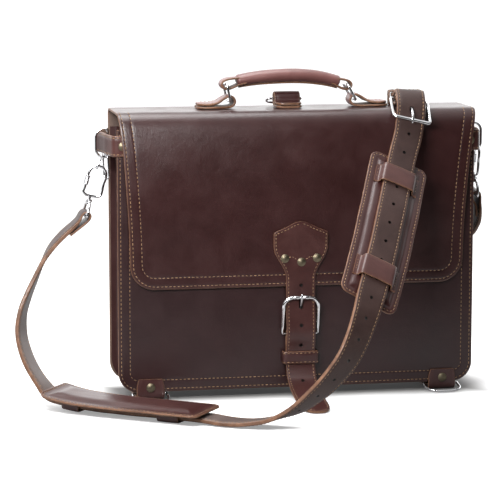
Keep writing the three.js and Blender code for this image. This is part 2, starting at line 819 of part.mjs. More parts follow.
// [distance to the right of the eye's bar, distance away from the hook,
// thickness where it is not STRAP_FOLD_T]
const RIGHT_FOLD = [
  [5.6, 19, 3.6], [5, 9, 2.6], [4.7, 1.5], [3.4, -3.2], [0, -4.8], [-3.4, -3.2],
  [-4.7, 0.5], [-3.7, 5], [-0.4, 11], [0.9, 18], [1, 24],
];

function strapShort() {
  const eyeBar = RIGHT_HOOK_BAR.clone().addScaledVector(
    RIGHT_HOOK_AXIS,
    HOOK_EYE_BASE + HOOK_EYE_DEPTH,
  );
  const away = unit(0, 0.12, -0.9928);
  const fold = RIGHT_FOLD.map(([sideways, distance, thick = STRAP_FOLD_T]) => ({
    centre: offset(eyeBar, RIGHT, sideways, away, distance),
    width: RIGHT_HOOK_SIDE,
    half: STRAP_FOLD_HALF,
    thick,
  }));
  const prongSlot = box([123.6, 131.2], [-40, -18.5], [317.6, 332]);
  return band([...STRAP_SHORT.map(strapStation), ...fold]).subtract(prongSlot);
}

// closed band round every layer, behind the buckle
function strapKeeper() {
  // [across the strap, z]
  const path = [
    [-18.4, 319.4], [-17.2, 318.3], [17.2, 318.3], [18.4, 319.4],
    [18.4, 331.2], [16.9, 332.7], [-16.9, 332.7], [-18.4, 331.2],
  ];
  const middle = vec(131.6, 7.6, 0);
  const across = unit(0.99, -0.14, 0);
  const place = (distance, z) => offset(middle, across, distance, UP, z);
  return planeBand(path, place, unit(0.14, 0.99, 0), { half: 7.5, thick: 1.7, closed: true });
}

add("strap_short", strapShort(), "strap");
add("strap_keeper", strapKeeper(), "leather");

// ---------- shoulder strap buckle ----------
const STRAP_PIVOT = vec(127.5, -26.6, 325.6);
const STRAP_BAR = vec(122, -62.3, 311); // far bar of the frame, before squaring
const BUCKLE_WIDTH_DIR = unit(0.987, -0.125, -0.095);
const BUCKLE_LENGTH_DIR = squareTo(STRAP_BAR.clone().sub(STRAP_PIVOT), BUCKLE_WIDTH_DIR);

function strapBuckleFrame() {
  const length = STRAP_BAR.clone().sub(STRAP_PIVOT).dot(BUCKLE_LENGTH_DIR);
  const half = 20.1;
  const cornerR = 3.2;
  const outline = [
    [-half, 0.4],
    [-18.8, 0],
    [18.8, 0],
    [half, 0.4],
    ...arc(half - cornerR, length - cornerR, cornerR, 0, 90, 3),
    ...arc(-half + cornerR, length - cornerR, cornerR, 90, 180, 3),
  ];
  return buckleFrame(outline, STRAP_PIVOT, BUCKLE_WIDTH_DIR, BUCKLE_LENGTH_DIR);
}

function strapBuckleProng() {
  const upward = BUCKLE_LENGTH_DIR.clone().cross(BUCKLE_WIDTH_DIR).normalize();
  const shaft = [
    offset(STRAP_PIVOT, BUCKLE_LENGTH_DIR, 2.6, upward, 0.3),
    vec(126, -38, 322.8),
    vec(124.9, -46, 320.2),
    vec(123.6, -55.5, 318.4),
    vec(122.6, -62.4, 316),
    vec(121.8, -66.4, 312.4),
    vec(121.3, -67.8, 308.6),
  ];
  return buckleProng(STRAP_PIVOT, BUCKLE_LENGTH_DIR, upward, BUCKLE_WIDTH_DIR, shaft);
}

add("strap_buckle_frame", strapBuckleFrame(), "chrome");
add("strap_buckle_prong", strapBuckleProng(), "chrome");

// ---------- pads ----------
const PAD_MARGIN = 1.6; // half thickness of a pad's flat margins
// [across in half widths, height from the pad's middle layer]:
// thin margins, padded middle
const PAD_SECTION = [
  [-1, PAD_MARGIN], [-1, -PAD_MARGIN], [-0.66, -1.9], [-0.5, -4.6], [0, -5.6],
  [0.5, -4.6], [0.66, -1.9], [1, -PAD_MARGIN], [1, PAD_MARGIN], [0.57, PAD_MARGIN],
  [0.44, 3.6], [-0.44, 3.6], [-0.57, PAD_MARGIN],
];
// sections near a pad's ends, in stations from the end
const PAD_END_STEPS = [0, 0.05, 0.15, 0.4, 0.62];
// [across, height from the strap's middle] of a loop, foot to foot
const PAD_LOOP_PATH = [
  [-25.4, -3.7], [-20.8, -3.7], [-18.8, -1.2], [-18.4, 2.5], [-16.9, 4.3],
  [16.9, 4.3], [18.4, 2.5], [18.8, -1.2], [20.8, -3.7], [25.4, -3.7],
];
const PAD_LOOP_T = 1.5;

// pad under the strap between two positions, with rounded corners and flat ends
function pad(from, to) {
  const positions = PAD_END_STEPS.map((step) => from + step);
  for (let i = Math.ceil(from + 0.7); i < to - 0.65; i++) positions.push(i);
  positions.push(...PAD_END_STEPS.map((step) => to - step).reverse());
  const length = strapAt(from).centre.distanceTo(strapAt(to).centre);

  const rings = positions.map((position) => {
    const { centre, width, normal } = strapAt(position);
    const toEnd = (Math.min(position - from, to - position) / (to - from)) * length;
    const inCorner = Math.max(0, PAD_CORNER_R - toEnd);
    const half = PAD_HALF - PAD_CORNER_R + Math.sqrt(PAD_CORNER_R ** 2 - inCorner ** 2);
    // the padding swells from 5 to 13 mm from the end
    const puff = THREE.MathUtils.clamp((toEnd - 5) / 8, 0, 1);
    return PAD_SECTION.map(([across, height]) => {
      const flat = THREE.MathUtils.clamp(height, -PAD_MARGIN, PAD_MARGIN);
      const out = -PAD_OFFSET + flat + (height - flat) * puff;
      return offset(centre, width, across * half, normal, out);
    });
  });
  return skin(rings);
}

// C-shaped loop over the strap between two positions, its feet on the pad's margins
function padLoop(from, to) {
  const start = strapAt(from);
  const end = strapAt(to);
  const lastIndex = PAD_LOOP_PATH.length - 1;
  const rings = PAD_LOOP_PATH.map(([across, height], i) => {
    const before = PAD_LOOP_PATH[Math.max(0, i - 1)];
    const after = PAD_LOOP_PATH[Math.min(lastIndex, i + 1)];
    const run = after[0] - before[0];
    const rise = after[1] - before[1];
    const scale = PAD_LOOP_T / 2 / Math.hypot(run, rise);
    const corner = ({ centre, width, normal }, face) =>
      offset(
        centre,
        width,
        across - face * rise * scale,
        normal,
        height + face * run * scale,
      );
    return [corner(start, 1), corner(start, -1), corner(end, -1), corner(end, 1)];
  });
  return skin(rings);
}

add("shoulder_pad", pad(9.25, 17.1), "leather");
add("shoulder_pad_loop_upper", padLoop(9.95, 10.95), "leather");
add("shoulder_pad_loop_lower", padLoop(15.05, 16.1), "leather");
add("floor_pad", pad(26.9, 33.3), "leather");
add("floor_pad_loop_right", padLoop(28.05, 29), "leather");
add("floor_pad_loop_left", padLoop(31, 31.95), "leather");

// ---------- hooks ----------
const HOOK_WIRE_R = 1.5;
// [sideways, along the axis from the bottom bar] of the open frame of a carabiner
const HOOK_OUTLINE = [
  [7.95, -14.2], [8, -8.3], [8.3, -2.8], [5.6, -0.2], [0, 0], [-7, -0.2],
  [-10.8, -2.4], [-11.6, -7.6], [-11.2, -15.5], [-12, -23], [-10.2, -29.5],
  [-5.6, -33], [0, -33.5], [5.1, -30.6], [7.6, -25], [7.9, -17.2],
];
// [radius, height along the axis from the bottom bar] of the swivel's headed stem
const HOOK_STEM_PROFILE = [
  [0, -0.6], [1.6, -0.6], [1.6, 8.1], [2.9, 8.1], [2.9, 9.7], [0, 9.7],
];
// [across, along the axis from the eye's base] of the eye
const HOOK_EYE_OUTLINE = [
  [-17.6, 16.2], [-16.6, HOOK_EYE_DEPTH], [16.6, HOOK_EYE_DEPTH], [17.6, 16.2],
  [17.6, 11], [15.5, 6], [11, 2.2], [5, 0.3], [0, 0], [-5, 0.3], [-11, 2.2],
  [-15.5, 6], [-17.6, 11],
];

// bar: middle of the bottom bar; axis: towards the strap; side: sideways in the
// carabiner's plane; eyeWidth: width direction of the eye
function addHook(name, { bar, axis, side, eyeWidth }) {
  const at = (sideways, along) => offset(bar, side, sideways, axis, along);

  const outline = HOOK_OUTLINE.map(([sideways, along]) => at(sideways, along));
  const frame = wire(outline, HOOK_WIRE_R, side.clone().cross(axis), 8);
  const stem = lathe(HOOK_STEM_PROFILE, 10, bar, axis);
  add(`${name}_hook_frame`, frame.add(stem), "chrome");

  // tube over the gap in the frame, its bore cut from beyond both ends
  const sleeve = rod(at(8, -10.8), at(7.8, -21.4), 2.75, 12);
  const sleeveBore = rod(at(8, -9.8), at(7.8, -22.4), 2, 12);
  add(`${name}_hook_sleeve`, sleeve.subtract(sleeveBore), "chrome");

  const eye = ringWire(HOOK_EYE_OUTLINE, at(0, HOOK_EYE_BASE), eyeWidth, axis, HOOK_WIRE_R);
  const boss = rod(at(0, 3.9), at(0, 7.5), 3.5, 12);
  const stemBore = rod(at(0, 2), at(0, 9), 2, 12);
  add(`${name}_hook_eye`, eye.add(boss).subtract(stemBore), "chrome");
}

addHook("left", {
  bar: vec(-225.4, LEFT_HOOK_Y, 223.9),
  axis: unit(-0.26, 0, -0.9656),
  side: unit(-0.9656, 0, 0.26),
  eyeWidth: BACK,
});
addHook("right", {
  bar: RIGHT_HOOK_BAR,
  axis: RIGHT_HOOK_AXIS,
  side: RIGHT_HOOK_SIDE,
  eyeWidth: RIGHT_HOOK_SIDE,
});

// ---------- links on the left side ring ----------
// long link round two places, start and end, which are the middles of wires
// of radius startR and endR
function link({ start, end, width, half, startR, endR, wireR }) {
  const clearance = 0.35;
  const direction = end.clone().sub(start).normalize();
  const length = start.distanceTo(end) + startR + endR + 2 * clearance + 2 * wireR;
  const origin = start.clone().addScaledVector(direction, -(startR + clearance + wireR));
  const outline = [
    ...arc(0, half, half, 180, 360, 6),
    ...arc(0, length - half, half, 0, 180, 6),
  ];
  return ringWire(outline, origin, width, direction, wireR);
}

// joins the ring to the left hook
const leftLink = link({
  start: vec(-212.4, -0.3, 266.1),
  end: vec(-216.6, -3, 256.2),
  width: unit(0, 1, -0.25),
  half: 4.2,
  startR: RING_R,
  endR: HOOK_WIRE_R,
  wireR: 1,
});
// hangs down from the ring
const leftDropLink = link({
  start: vec(-207.6, 0, 265.6),
  end: vec(-206.6, 0, 243),
  width: unit(0.5, -0.86, 0),
  half: 4.4,
  startR: RING_R,
  endR: 0.4,
  wireR: 0.9,
});
add("left_link", leftLink, "chrome");
add("left_drop_link", leftDropLink, "chrome");

// ---------- handle ----------
// [x, z, half width] of the right tab: along the flap, round the ring's bar and back
const HANDLE_TAB_PATH = [
  [107, 318.9, 10], [104.5, 318.9, 13.6], [98, 318.9, 16], [88, 318.9, 15.6],
  [74, 318.9, 11.5], [68, 320.1, 10.4], [64.9, 324.3, 10.2], [66.6, 329, 10.2],
  [71.5, 330.8, 10.4], [77.5, 328.2, 11], [84, 324, 12.6], [91, 322.4, 14.2],
  [101, 322.2, 14.6], [103.5, 322.2, 11.5],
];
const HANDLE_BAR_X = 70.6; // lower bars of the handle rings
const HANDLE_BAR_Z = 325.2;
// [x, z, half height, half depth]
const GRIP = [
  [-61, 347.2, 4.6, 8.2], [-59, 347.7, 6.4, 9.4], [-54, 348.6, 6.8, 9.8],
  [-40, 350.6, 7, 10], [-22, 352, 7.2, 10.2], [0, 352.6, 7.3, 10.3],
  [20, 351.6, 7.2, 10.2], [36, 349.2, 7, 10], [46, 346.8, 6.8, 9.8],
  [51, 345.3, 6.4, 9.4], [53, 344.6, 4.6, 8.2],
];
// [x, z] of the leather loops at the grip's ends, round the rings' upper bars
const GRIP_LOOP_LEFT = [
  [-50, 350.4], [-62, 350.2], [-72, 349.4], [-77.8, 347], [-79.4, 343.2],
  [-76.8, 339.6], [-71.5, 338.8], [-64, 342], [-50, 346],
];
const GRIP_LOOP_RIGHT = [
  [42, 349], [52, 348], [60, 347], [65.6, 344.6], [66.8, 340.8],
  [64, 337.4], [58.6, 336.8], [51.5, 340.6], [42, 344.6],
];

function handleTab(side) {
  const path = HANDLE_TAB_PATH.map(([x, z, half]) => [side * x, z, half]);
  return planeBand(path, inXZ(0), BACK, { thick: TAB_T });
}

// rectangular ring from its lower bar on the tab to its upper bar in the handle
function handleRing(side, top) {
  const bottom = vec(side * HANDLE_BAR_X, 0, HANDLE_BAR_Z);
  const outline = ringOutline(12.6, bottom.distanceTo(top), 3, 3, 3, 3);
  return ringWire(outline, bottom, BACK, top.clone().sub(bottom).normalize(), 1.35, 8);
}

function handle() {
  const points = GRIP.map(([x, z]) => vec(x, 0, z));
  const along = tangents(points);
  const rings = GRIP.map(([, , halfHeight, halfDepth], i) =>
    ellipse(points[i], BACK, halfDepth, along[i].clone().cross(BACK), halfHeight, 12),
  );
  let solid = skin(rings);
  for (const loop of [GRIP_LOOP_LEFT, GRIP_LOOP_RIGHT]) {
    solid = solid.add(planeBand(loop, inXZ(0), BACK, { half: 8.6, thick: 2.4 }));
  }
  return solid;
}

for (const [name, side] of SIDES) add(`handle_tab_${name}`, handleTab(side), "leather");
add("handle_ring_left", handleRing(-1, vec(-74.2, 0, 343.8)), "chrome");
add("handle_ring_right", handleRing(1, vec(61.6, 0, 341.7)), "chrome");
add("handle", handle(), "leather");

// ---------- D-ring on top, near the middle ----------
const TOP_TAB_X = -4.8;
const TOP_TAB_HALF = 14.5;
// [y, z, half width where it is not TOP_TAB_HALF]
const TOP_TAB_PATH = [
  [-17, 322.2, 10.5], [-13, 322.2], [-4, 322.8], [-1, 325.5], [-0.4, 330], [3, 333.2],
  [8.4, 332.2], [10.8, 327.4], [9, 321.6], [4, 318.9], [-13, 318.9], [-17, 318.9, 10.5],
];
const topTab = planeBand(TOP_TAB_PATH, inYZ(TOP_TAB_X), RIGHT, {
  half: TOP_TAB_HALF,
  thick: TAB_T,
});
// leans down towards the back
const topRing = ringWire(
  ringOutline(18.6, 17.5, 10),
  vec(TOP_TAB_X - 2, 5.2, 326.8),
  RIGHT,
  vec(0, 0.943, -0.333),
  RING_R,
);
add("top_ring_tab", topTab, "leather");
add("top_d_ring", topRing, "chrome");

// ---------- shift to the bounding box's bottom centre ----------
const bounds = new THREE.Box3().setFromObject(group, true);
group.position.set(
  -(bounds.min.x + bounds.max.x) / 2,
  -(bounds.min.y + bounds.max.y) / 2,
  -bounds.min.z,
);
group.updateMatrixWorld(true);

export default group;
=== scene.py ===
"""Looks of a leather satchel, built round its CAD frame.

Lengths are millimetres in a frame centred on the bag: +X right, +Y towards the back (the
flap hangs over the -Y front), +Z up from near the floor. The shoulder strap leaves the top
right, loops down in front of the bag, crosses the floor and climbs to the left side.
row() turns these places into metres in the CAD frame.
"""

import math

import bpy
import numpy as np
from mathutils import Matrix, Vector, noise


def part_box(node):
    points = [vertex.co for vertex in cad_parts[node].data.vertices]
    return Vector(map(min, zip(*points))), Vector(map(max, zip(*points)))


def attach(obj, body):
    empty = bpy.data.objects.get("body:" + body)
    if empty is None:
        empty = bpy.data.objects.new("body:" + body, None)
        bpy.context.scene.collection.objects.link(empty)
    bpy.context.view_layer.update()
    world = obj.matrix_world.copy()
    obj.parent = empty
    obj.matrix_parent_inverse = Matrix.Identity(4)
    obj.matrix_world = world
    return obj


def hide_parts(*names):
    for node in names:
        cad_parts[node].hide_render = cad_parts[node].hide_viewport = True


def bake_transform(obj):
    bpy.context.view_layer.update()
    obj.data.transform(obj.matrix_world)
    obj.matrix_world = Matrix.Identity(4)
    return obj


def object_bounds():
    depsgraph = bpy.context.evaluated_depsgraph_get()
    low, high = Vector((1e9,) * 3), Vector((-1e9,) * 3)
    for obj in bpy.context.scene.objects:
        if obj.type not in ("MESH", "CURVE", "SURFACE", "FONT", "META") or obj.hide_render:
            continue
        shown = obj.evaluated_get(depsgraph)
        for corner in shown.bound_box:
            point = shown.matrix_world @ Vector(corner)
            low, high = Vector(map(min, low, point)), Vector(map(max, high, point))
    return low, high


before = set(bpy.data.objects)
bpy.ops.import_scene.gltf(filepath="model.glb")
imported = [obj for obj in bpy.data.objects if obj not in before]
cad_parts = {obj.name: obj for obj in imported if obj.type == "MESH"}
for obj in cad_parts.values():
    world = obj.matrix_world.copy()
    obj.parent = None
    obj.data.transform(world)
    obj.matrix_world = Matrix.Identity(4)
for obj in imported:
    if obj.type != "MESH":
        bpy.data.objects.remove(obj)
CAD_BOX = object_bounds()

# Shell: panels hang from PANEL_TOP; both panel and flap hides share one thickness
PANEL_HALF, PANEL_TOP, PANEL_LENGTH = 200.0, 298.0, 289.0
PANEL_Y = -36.4
SHELL_HALF_THICK = 1.6
SHELL_STITCH_INSETS = (3.4, 13.0)

PANEL_CENTRE = np.array([0, PANEL_Y, PANEL_TOP - PANEL_LENGTH / 2])
panel_low, panel_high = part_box("front_panel")
OFFSET = np.array((panel_low + panel_high) / 2) * 1000 - PANEL_CENTRE

X, Y, Z = np.eye(3)

# Material slots of every leather piece
FACE, EDGE, BACK, THREAD, HOLE = range(5)


def row(point):
    return (np.asarray(point, float) + OFFSET) / 1000


# ---------- vectors and curves ----------
def unit(a):
    a = np.asarray(a, float)
    return a / np.maximum(np.linalg.norm(a, axis=-1, keepdims=True), 1e-12)


def square(vector, axis):
    """Unit vector made square to a unit axis."""
    vector = np.asarray(vector, float)
    return unit(vector - np.dot(vector, axis) * axis)


def smooth(t):
    t = np.clip(t, 0, 1)
    return t * t * (3 - 2 * t)


def spline(keys, step):
    """Catmull-Rom through rows whose first three columns are the position.

    Returns the rows and, for each, its place counted in keys.
    """
    keys = np.asarray(keys, float)
    chord = np.linalg.norm(np.diff(keys[:, :3], axis=0), axis=1)
    span = np.sqrt(np.maximum(chord, 1e-6))
    rate = np.diff(keys, axis=0) / span[:, None]
    slope = np.zeros_like(keys)
    before, after = span[:-1, None], span[1:, None]
    slope[1:-1] = (rate[:-1] * after + rate[1:] * before) / (after + before)
    slope[0], slope[-1] = rate[0], rate[-1]
    rows, places = [], []
    for i in range(len(chord)):
        count = max(1, int(math.ceil(chord[i] / step)))
        for j in range(count):
            u = j / count
            rows.append(
                (2 * u**3 - 3 * u**2 + 1) * keys[i]
                + (u**3 - 2 * u**2 + u) * span[i] * slope[i]
                + (-2 * u**3 + 3 * u**2) * keys[i + 1]
                + (u**3 - u**2) * span[i] * slope[i + 1]
            )
            places.append(i + u)
    rows.append(keys[-1])
    places.append(len(keys) - 1)
    return np.array(rows), np.array(places, float)


def tangents(points, closed=False):
    if closed:
        return unit(np.roll(points, -1, 0) - np.roll(points, 1, 0))
    return unit(np.gradient(points, axis=0))


def run_length(points):
    steps = np.linalg.norm(np.diff(points, axis=0), axis=1)
    return np.concatenate([[0], np.cumsum(steps)])


def interp_rows(places, known, rows):
    return np.stack([np.interp(places, known, column) for column in rows.T], -1)


def noise3(x, y, z, seed):
    return noise.noise(Vector((x + seed * 13.1, y - seed * 7.7, z + seed * 3.3)))


def arc(cx, cy, radius, start, end, count):
    """Points of an arc in a plane; angles in degrees."""
    angles = [math.radians(start + (end - start) * i / count) for i in range(count + 1)]
    return [[cx + radius * math.cos(a), cy + radius * math.sin(a)] for a in angles]


def circle(centre, u, v, angles):
    return centre + np.outer(np.cos(angles), u) + np.outer(np.sin(angles), v)


def mirrored(half):
    """Rows followed by their mirror in the first column; the last row lies on the axis."""
    return half + [[-r[0], *r[1:]] for r in reversed(half[:-1])]


def in_plane(outline, origin, u, v):
    origin, u, v = (np.asarray(q, float) for q in (origin, u, v))
    return [origin + u * a + v * c for a, c in outline]


class Path:
    """Centre line of a strip. Keys: x y z, width direction x y z, half width, thickness."""

    def __init__(self, keys, step=None, closed=False):
        if step:
            table, self.place = spline(keys, step)
        else:
            table, self.place = np.asarray(keys, float), np.arange(len(keys), dtype=float)
        self.points, self.half, self.thick = table[:, :3], table[:, 6], table[:, 7]
        along = tangents(self.points, closed)
        width = table[:, 3:6]
        self.width = unit(width - (width * along).sum(1, keepdims=True) * along)
        self.normal = np.cross(along, self.width)

    def at(self, place):
        """Point, width direction and normal at a place counted in keys."""
        point, width, normal = (
            interp_rows(place, self.place, rows)
            for rows in (self.points, self.width, self.normal)
        )
        return point, unit(width), unit(normal)


def strip_keys(points, width, half, thick):
    halves = np.broadcast_to(half, len(points))
    return [[*p, *width, h, thick] for p, h in zip(points, halves)]


# ---------- mesh gathering ----------
class Build:
    """Points, faces, material slots and wear of one object."""

    def __init__(self):
        self.points, self.faces, self.slots, self.wear, self.count = [], [], [], [], 0

    def add(self, points, wear=0.0):
        """Adds points and returns the index of the first."""
        points = np.asarray(points, float).reshape(-1, 3)
        self.points.append(points)
        self.wear.append(np.broadcast_to(np.asarray(wear, float), (len(points),)))
        first = self.count
        self.count += len(points)
        return first

    def face(self, indices, slot):
        self.faces.append(tuple(int(i) for i in indices))
        self.slots.append(int(slot))

    def object(self, name, materials, sharp=50):
        """Makes the object; edges steeper than sharp degrees stay sharp."""
        mesh = bpy.data.meshes.new(name)
        mesh.from_pydata(row(np.vstack(self.points)).tolist(), [], self.faces)
        for material in materials:
            mesh.materials.append(material)
        mesh.polygons.foreach_set("material_index", self.slots)
        mesh.polygons.foreach_set("use_smooth", [True] * len(self.slots))
        wear = mesh.attributes.new("wear", "FLOAT", "POINT")
        wear.data.foreach_set("value", np.concatenate(self.wear).astype(np.float32))
        mesh.update()
        if sharp:
            mesh.set_sharp_from_angle(angle=math.radians(sharp))
        obj = bpy.data.objects.new(name, mesh)
        bpy.context.scene.collection.objects.link(obj)
        return obj


def sweep(build, rings, slots, wear=0.0, closed=False, cap=None):
    """Skin over rings of points; slots is one value, or one per segment of the ring."""
    rings = np.asarray(rings, float)
    count, size, _ = rings.shape
    slots = np.broadcast_to(slots, size)
    base = build.add(rings, np.broadcast_to(wear, (count, size)).reshape(-1))
    for i in range(count if closed else count - 1):
        here, there = base + i * size, base + (i + 1) % count * size
        for j in range(size):
            k = (j + 1) % size
            build.face((here + j, there + j, there + k, here + k), slots[j])
    if not closed:
        cap = slots[0] if cap is None else cap
        build.face(range(base, base + size), cap)
        last = base + (count - 1) * size
        build.face(range(last + size - 1, last - 1, -1), cap)


# Along a stitch: place in lengths, swelling in radii, height over its bed in mm
STITCH_STATIONS = (
    (-0.5, 0.55, -0.46), (-0.36, 0.95, -0.02), (0.0, 1.0, 0.12), (0.36, 0.95, -0.02),
    (0.5, 0.55, -0.46),
)
STITCH_FLATTENING = 1.12
STITCH_ANGLES = np.arange(6) * math.pi / 3


def stitches(build, points, normals, pitch=4.6, length=2.9, radius=0.37, margin=1.5):
    """A row of stitches along a polyline, leaving a margin at both ends."""
    points, normals = np.asarray(points, float), np.asarray(normals, float)
    run = run_length(points)
    usable = run[-1] - 2 * margin
    if run[-1] < pitch + 2 * margin:
        return
    count = max(1, int(usable / pitch))
    places = margin + (np.arange(count) + 0.5) * usable / count
    reach = 0.8  # half the length over which the direction is read
    ahead = interp_rows(places + reach, run, points)
    behind = interp_rows(places - reach, run, points)
    for centre, along, normal in zip(
        interp_rows(places, run, points),
        unit(ahead - behind),
        unit(interp_rows(places, run, normals)),
    ):
        side = unit(np.cross(normal, along))
        rings = [
            circle(
                centre + along * (place * length) + normal * height,
                side * (swell * radius * STITCH_FLATTENING),
                normal * (swell * radius),
                STITCH_ANGLES,
            )
            for place, swell, height in STITCH_STATIONS
        ]
        sweep(build, rings[::-1], THREAD)


# ---------- straps and bands ----------
def section(half, thick, ref, inset, groove, crown, double, cols):
    """One cross-section of a strip: (sideways, out) points, their slots and their wear.

    Insets are true where half equals ref and scale with half elsewhere.
    """
    stations = [(0.55, 0.0), (1.1, 0.0), (1.9, 0.0)]
    if inset:
        stations += [(inset - 0.55, 0.0), (inset, groove), (inset + 0.55, 0.0)]
    stations.sort()
    scale, half_thick = half / ref, thick / 2
    rest = ref - stations[-1][0]
    left = [(-half + d * scale, depth, d) for d, depth in stations]
    inner = [(-(rest - rest * 2 * i / cols) * scale, 0.0, 20.0) for i in range(1, cols)]
    top = left + inner + [(-a, depth, d) for a, depth, d in reversed(left)]
    count = len(top)
    front, back, face_wear = [], [], []
    for i, (a, depth, d) in enumerate(top):
        bow = crown * (1 - (a / half) ** 2)
        soft = 0.16 * half_thick if i in (0, count - 1) else 0.0
        front.append((a, half_thick + bow - depth - soft))
        back.append((a, -half_thick + depth + soft))
        face_wear.append(math.exp(-d / 1.3) + (0.35 if depth else 0))
    dent = 0.32 if double else 0.0  # seam between the two layers
    rim = [
        (half - a * scale, half_thick * c)
        for a, c in ((0.2, 0.62), (0.02, 0.3), (dent, 0.0), (0.02, -0.3), (0.2, -0.62))
    ]
    points = front + rim + back[::-1] + [(-a, -c) for a, c in rim]
    slots = [FACE] * (count - 1) + [EDGE] * 6 + [BACK] * (count - 1) + [EDGE] * 6
    wear = face_wear + [1.0] * 5 + face_wear[::-1] + [1.0] * 5
    return points, slots, wear


def strap(
    build, path, inset, crown, cols, groove=0.15, double=False, ref=None, closed=False,
    rows=True, span=None, waves=None,
):
    """A leather strip with rounded edges, stitch grooves and, with rows, face stitches.

    span limits the stitches to a range of keys; waves lifts each ring along its normal.
    """
    ref = ref or float(path.half.max())
    rings, wear = [], []
    for i, point in enumerate(path.points):
        outline, slots, ring_wear = section(
            path.half[i], path.thick[i], ref, inset, groove, crown, double, cols
        )
        if waves is not None:
            point = point + path.normal[i] * waves[i]
        rings.append([point + path.width[i] * a + path.normal[i] * c for a, c in outline])
        wear.append(ring_wear)
    sweep(build, rings, slots, np.array(wear), closed, cap=EDGE)
    if inset and rows:
        low, high = span or (0, path.place[-1])
        keep = (path.place >= low) & (path.place <= high)
        rise = path.normal * (path.thick / 2 - groove * 0.55)[:, None]
        for side in (-1, 1):
            aside = side * (path.half - inset * path.half / ref)
            line = path.points + path.width * aside[:, None] + rise
            stitches(build, line[keep], path.normal[keep])


def outline_rows(keys, inset):
    """Two stitch lines at a true distance inside the outline of a strip, with normals."""
    path = Path(keys, 1.2)
    run = run_length(path.points)
    lines = []
    for side in (-1, 1):
        edge = side * path.half
        d_run, d_edge = np.gradient(run), np.gradient(edge)
        length = np.hypot(d_run, d_edge)
        places = run + side * d_edge / length * inset
        across = edge - side * d_run / length * inset
        keep = places >= 0.5
        points = interp_rows(places[keep], run, path.points)
        points += interp_rows(places[keep], run, path.width) * across[keep, None]
        lines.append((points, interp_rows(places[keep], run, path.normal)))
    return lines


# ---------- wires and turned parts ----------
def tube(build, points, radius, closed=False, sides=12, flat=1.0, up=None, step=None):
    """Wire along points; flat scales it along up. With step the points are splined."""
    points = np.asarray(points, float)
    table = np.column_stack([points, np.broadcast_to(radius, len(points))])
    if step:
        if closed:
            table = np.vstack([table[-2:], table, table[:2]])
        table, place = spline(table, step)
        if closed:
            table = table[(place >= 2) & (place < len(points) + 2)]
    points, radius = table[:, :3], table[:, 3]
    along = tangents(points, closed)
    across = Z if abs(along[0][2]) < 0.9 else X
    angles = -np.arange(sides) * 2 * math.pi / sides
    rings = []
    for point, r, axis in zip(points, radius, along):
        across = square(across if up is None else up, axis)
        rings.append(circle(point, across * r * flat, np.cross(axis, across) * r, angles))

    def rounded(end, sign):
        return [
            points[end] + (rings[end] - points[end]) * scale
            + along[end] * (sign * radius[end] * height)
            for scale, height in ((0.8, 0.35), (0.45, 0.62))
        ]

    if not closed:
        rings = rounded(0, -1)[::-1] + rings + rounded(-1, 1)
    sweep(build, rings, 0, closed=closed)


def lathe(build, profile, sides, origin, axis, slot=0):
    """Turned solid; profile is (radius, height) from the axis back to the axis."""
    axis, origin = unit(axis), np.asarray(origin, float)
    u = square(Z if abs(axis[2]) < 0.9 else X, axis)
    v = np.cross(axis, u)
    angles = np.arange(sides) * 2 * math.pi / sides
    first = build.add(origin + axis * profile[0][1])
    rings = [
        build.add(circle(origin + axis * height, u * radius, v * radius, angles))
        for radius, height in profile[1:-1]
    ]
    last = build.add(origin + axis * profile[-1][1])
    for j in range(sides):
        k = (j + 1) % sides
        build.face((first, rings[0] + k, rings[0] + j), slot)
        for low, high in zip(rings, rings[1:]):
            build.face((low + j, low + k, high + k, high + j), slot)
        build.face((last, rings[-1] + j, rings[-1] + k), slot)


def stadium(radius, low, high, count=10):
    """Closed slot outline between two heights, rounded at both."""
    return [
        *arc(0, low + radius, radius, 180, 360, count),
        *arc(0, high - radius, radius, 0, 180, count),
    ]


# ---------- sheets with rounded corners ----------
# Rim of a sheet from front to back: reach outwards in mm, share of the half thickness
SHEET_RIM = ((0.3, 0.8), (0.48, 0.4), (0.5, 0.0), (0.48, -0.4), (0.3, -0.8))


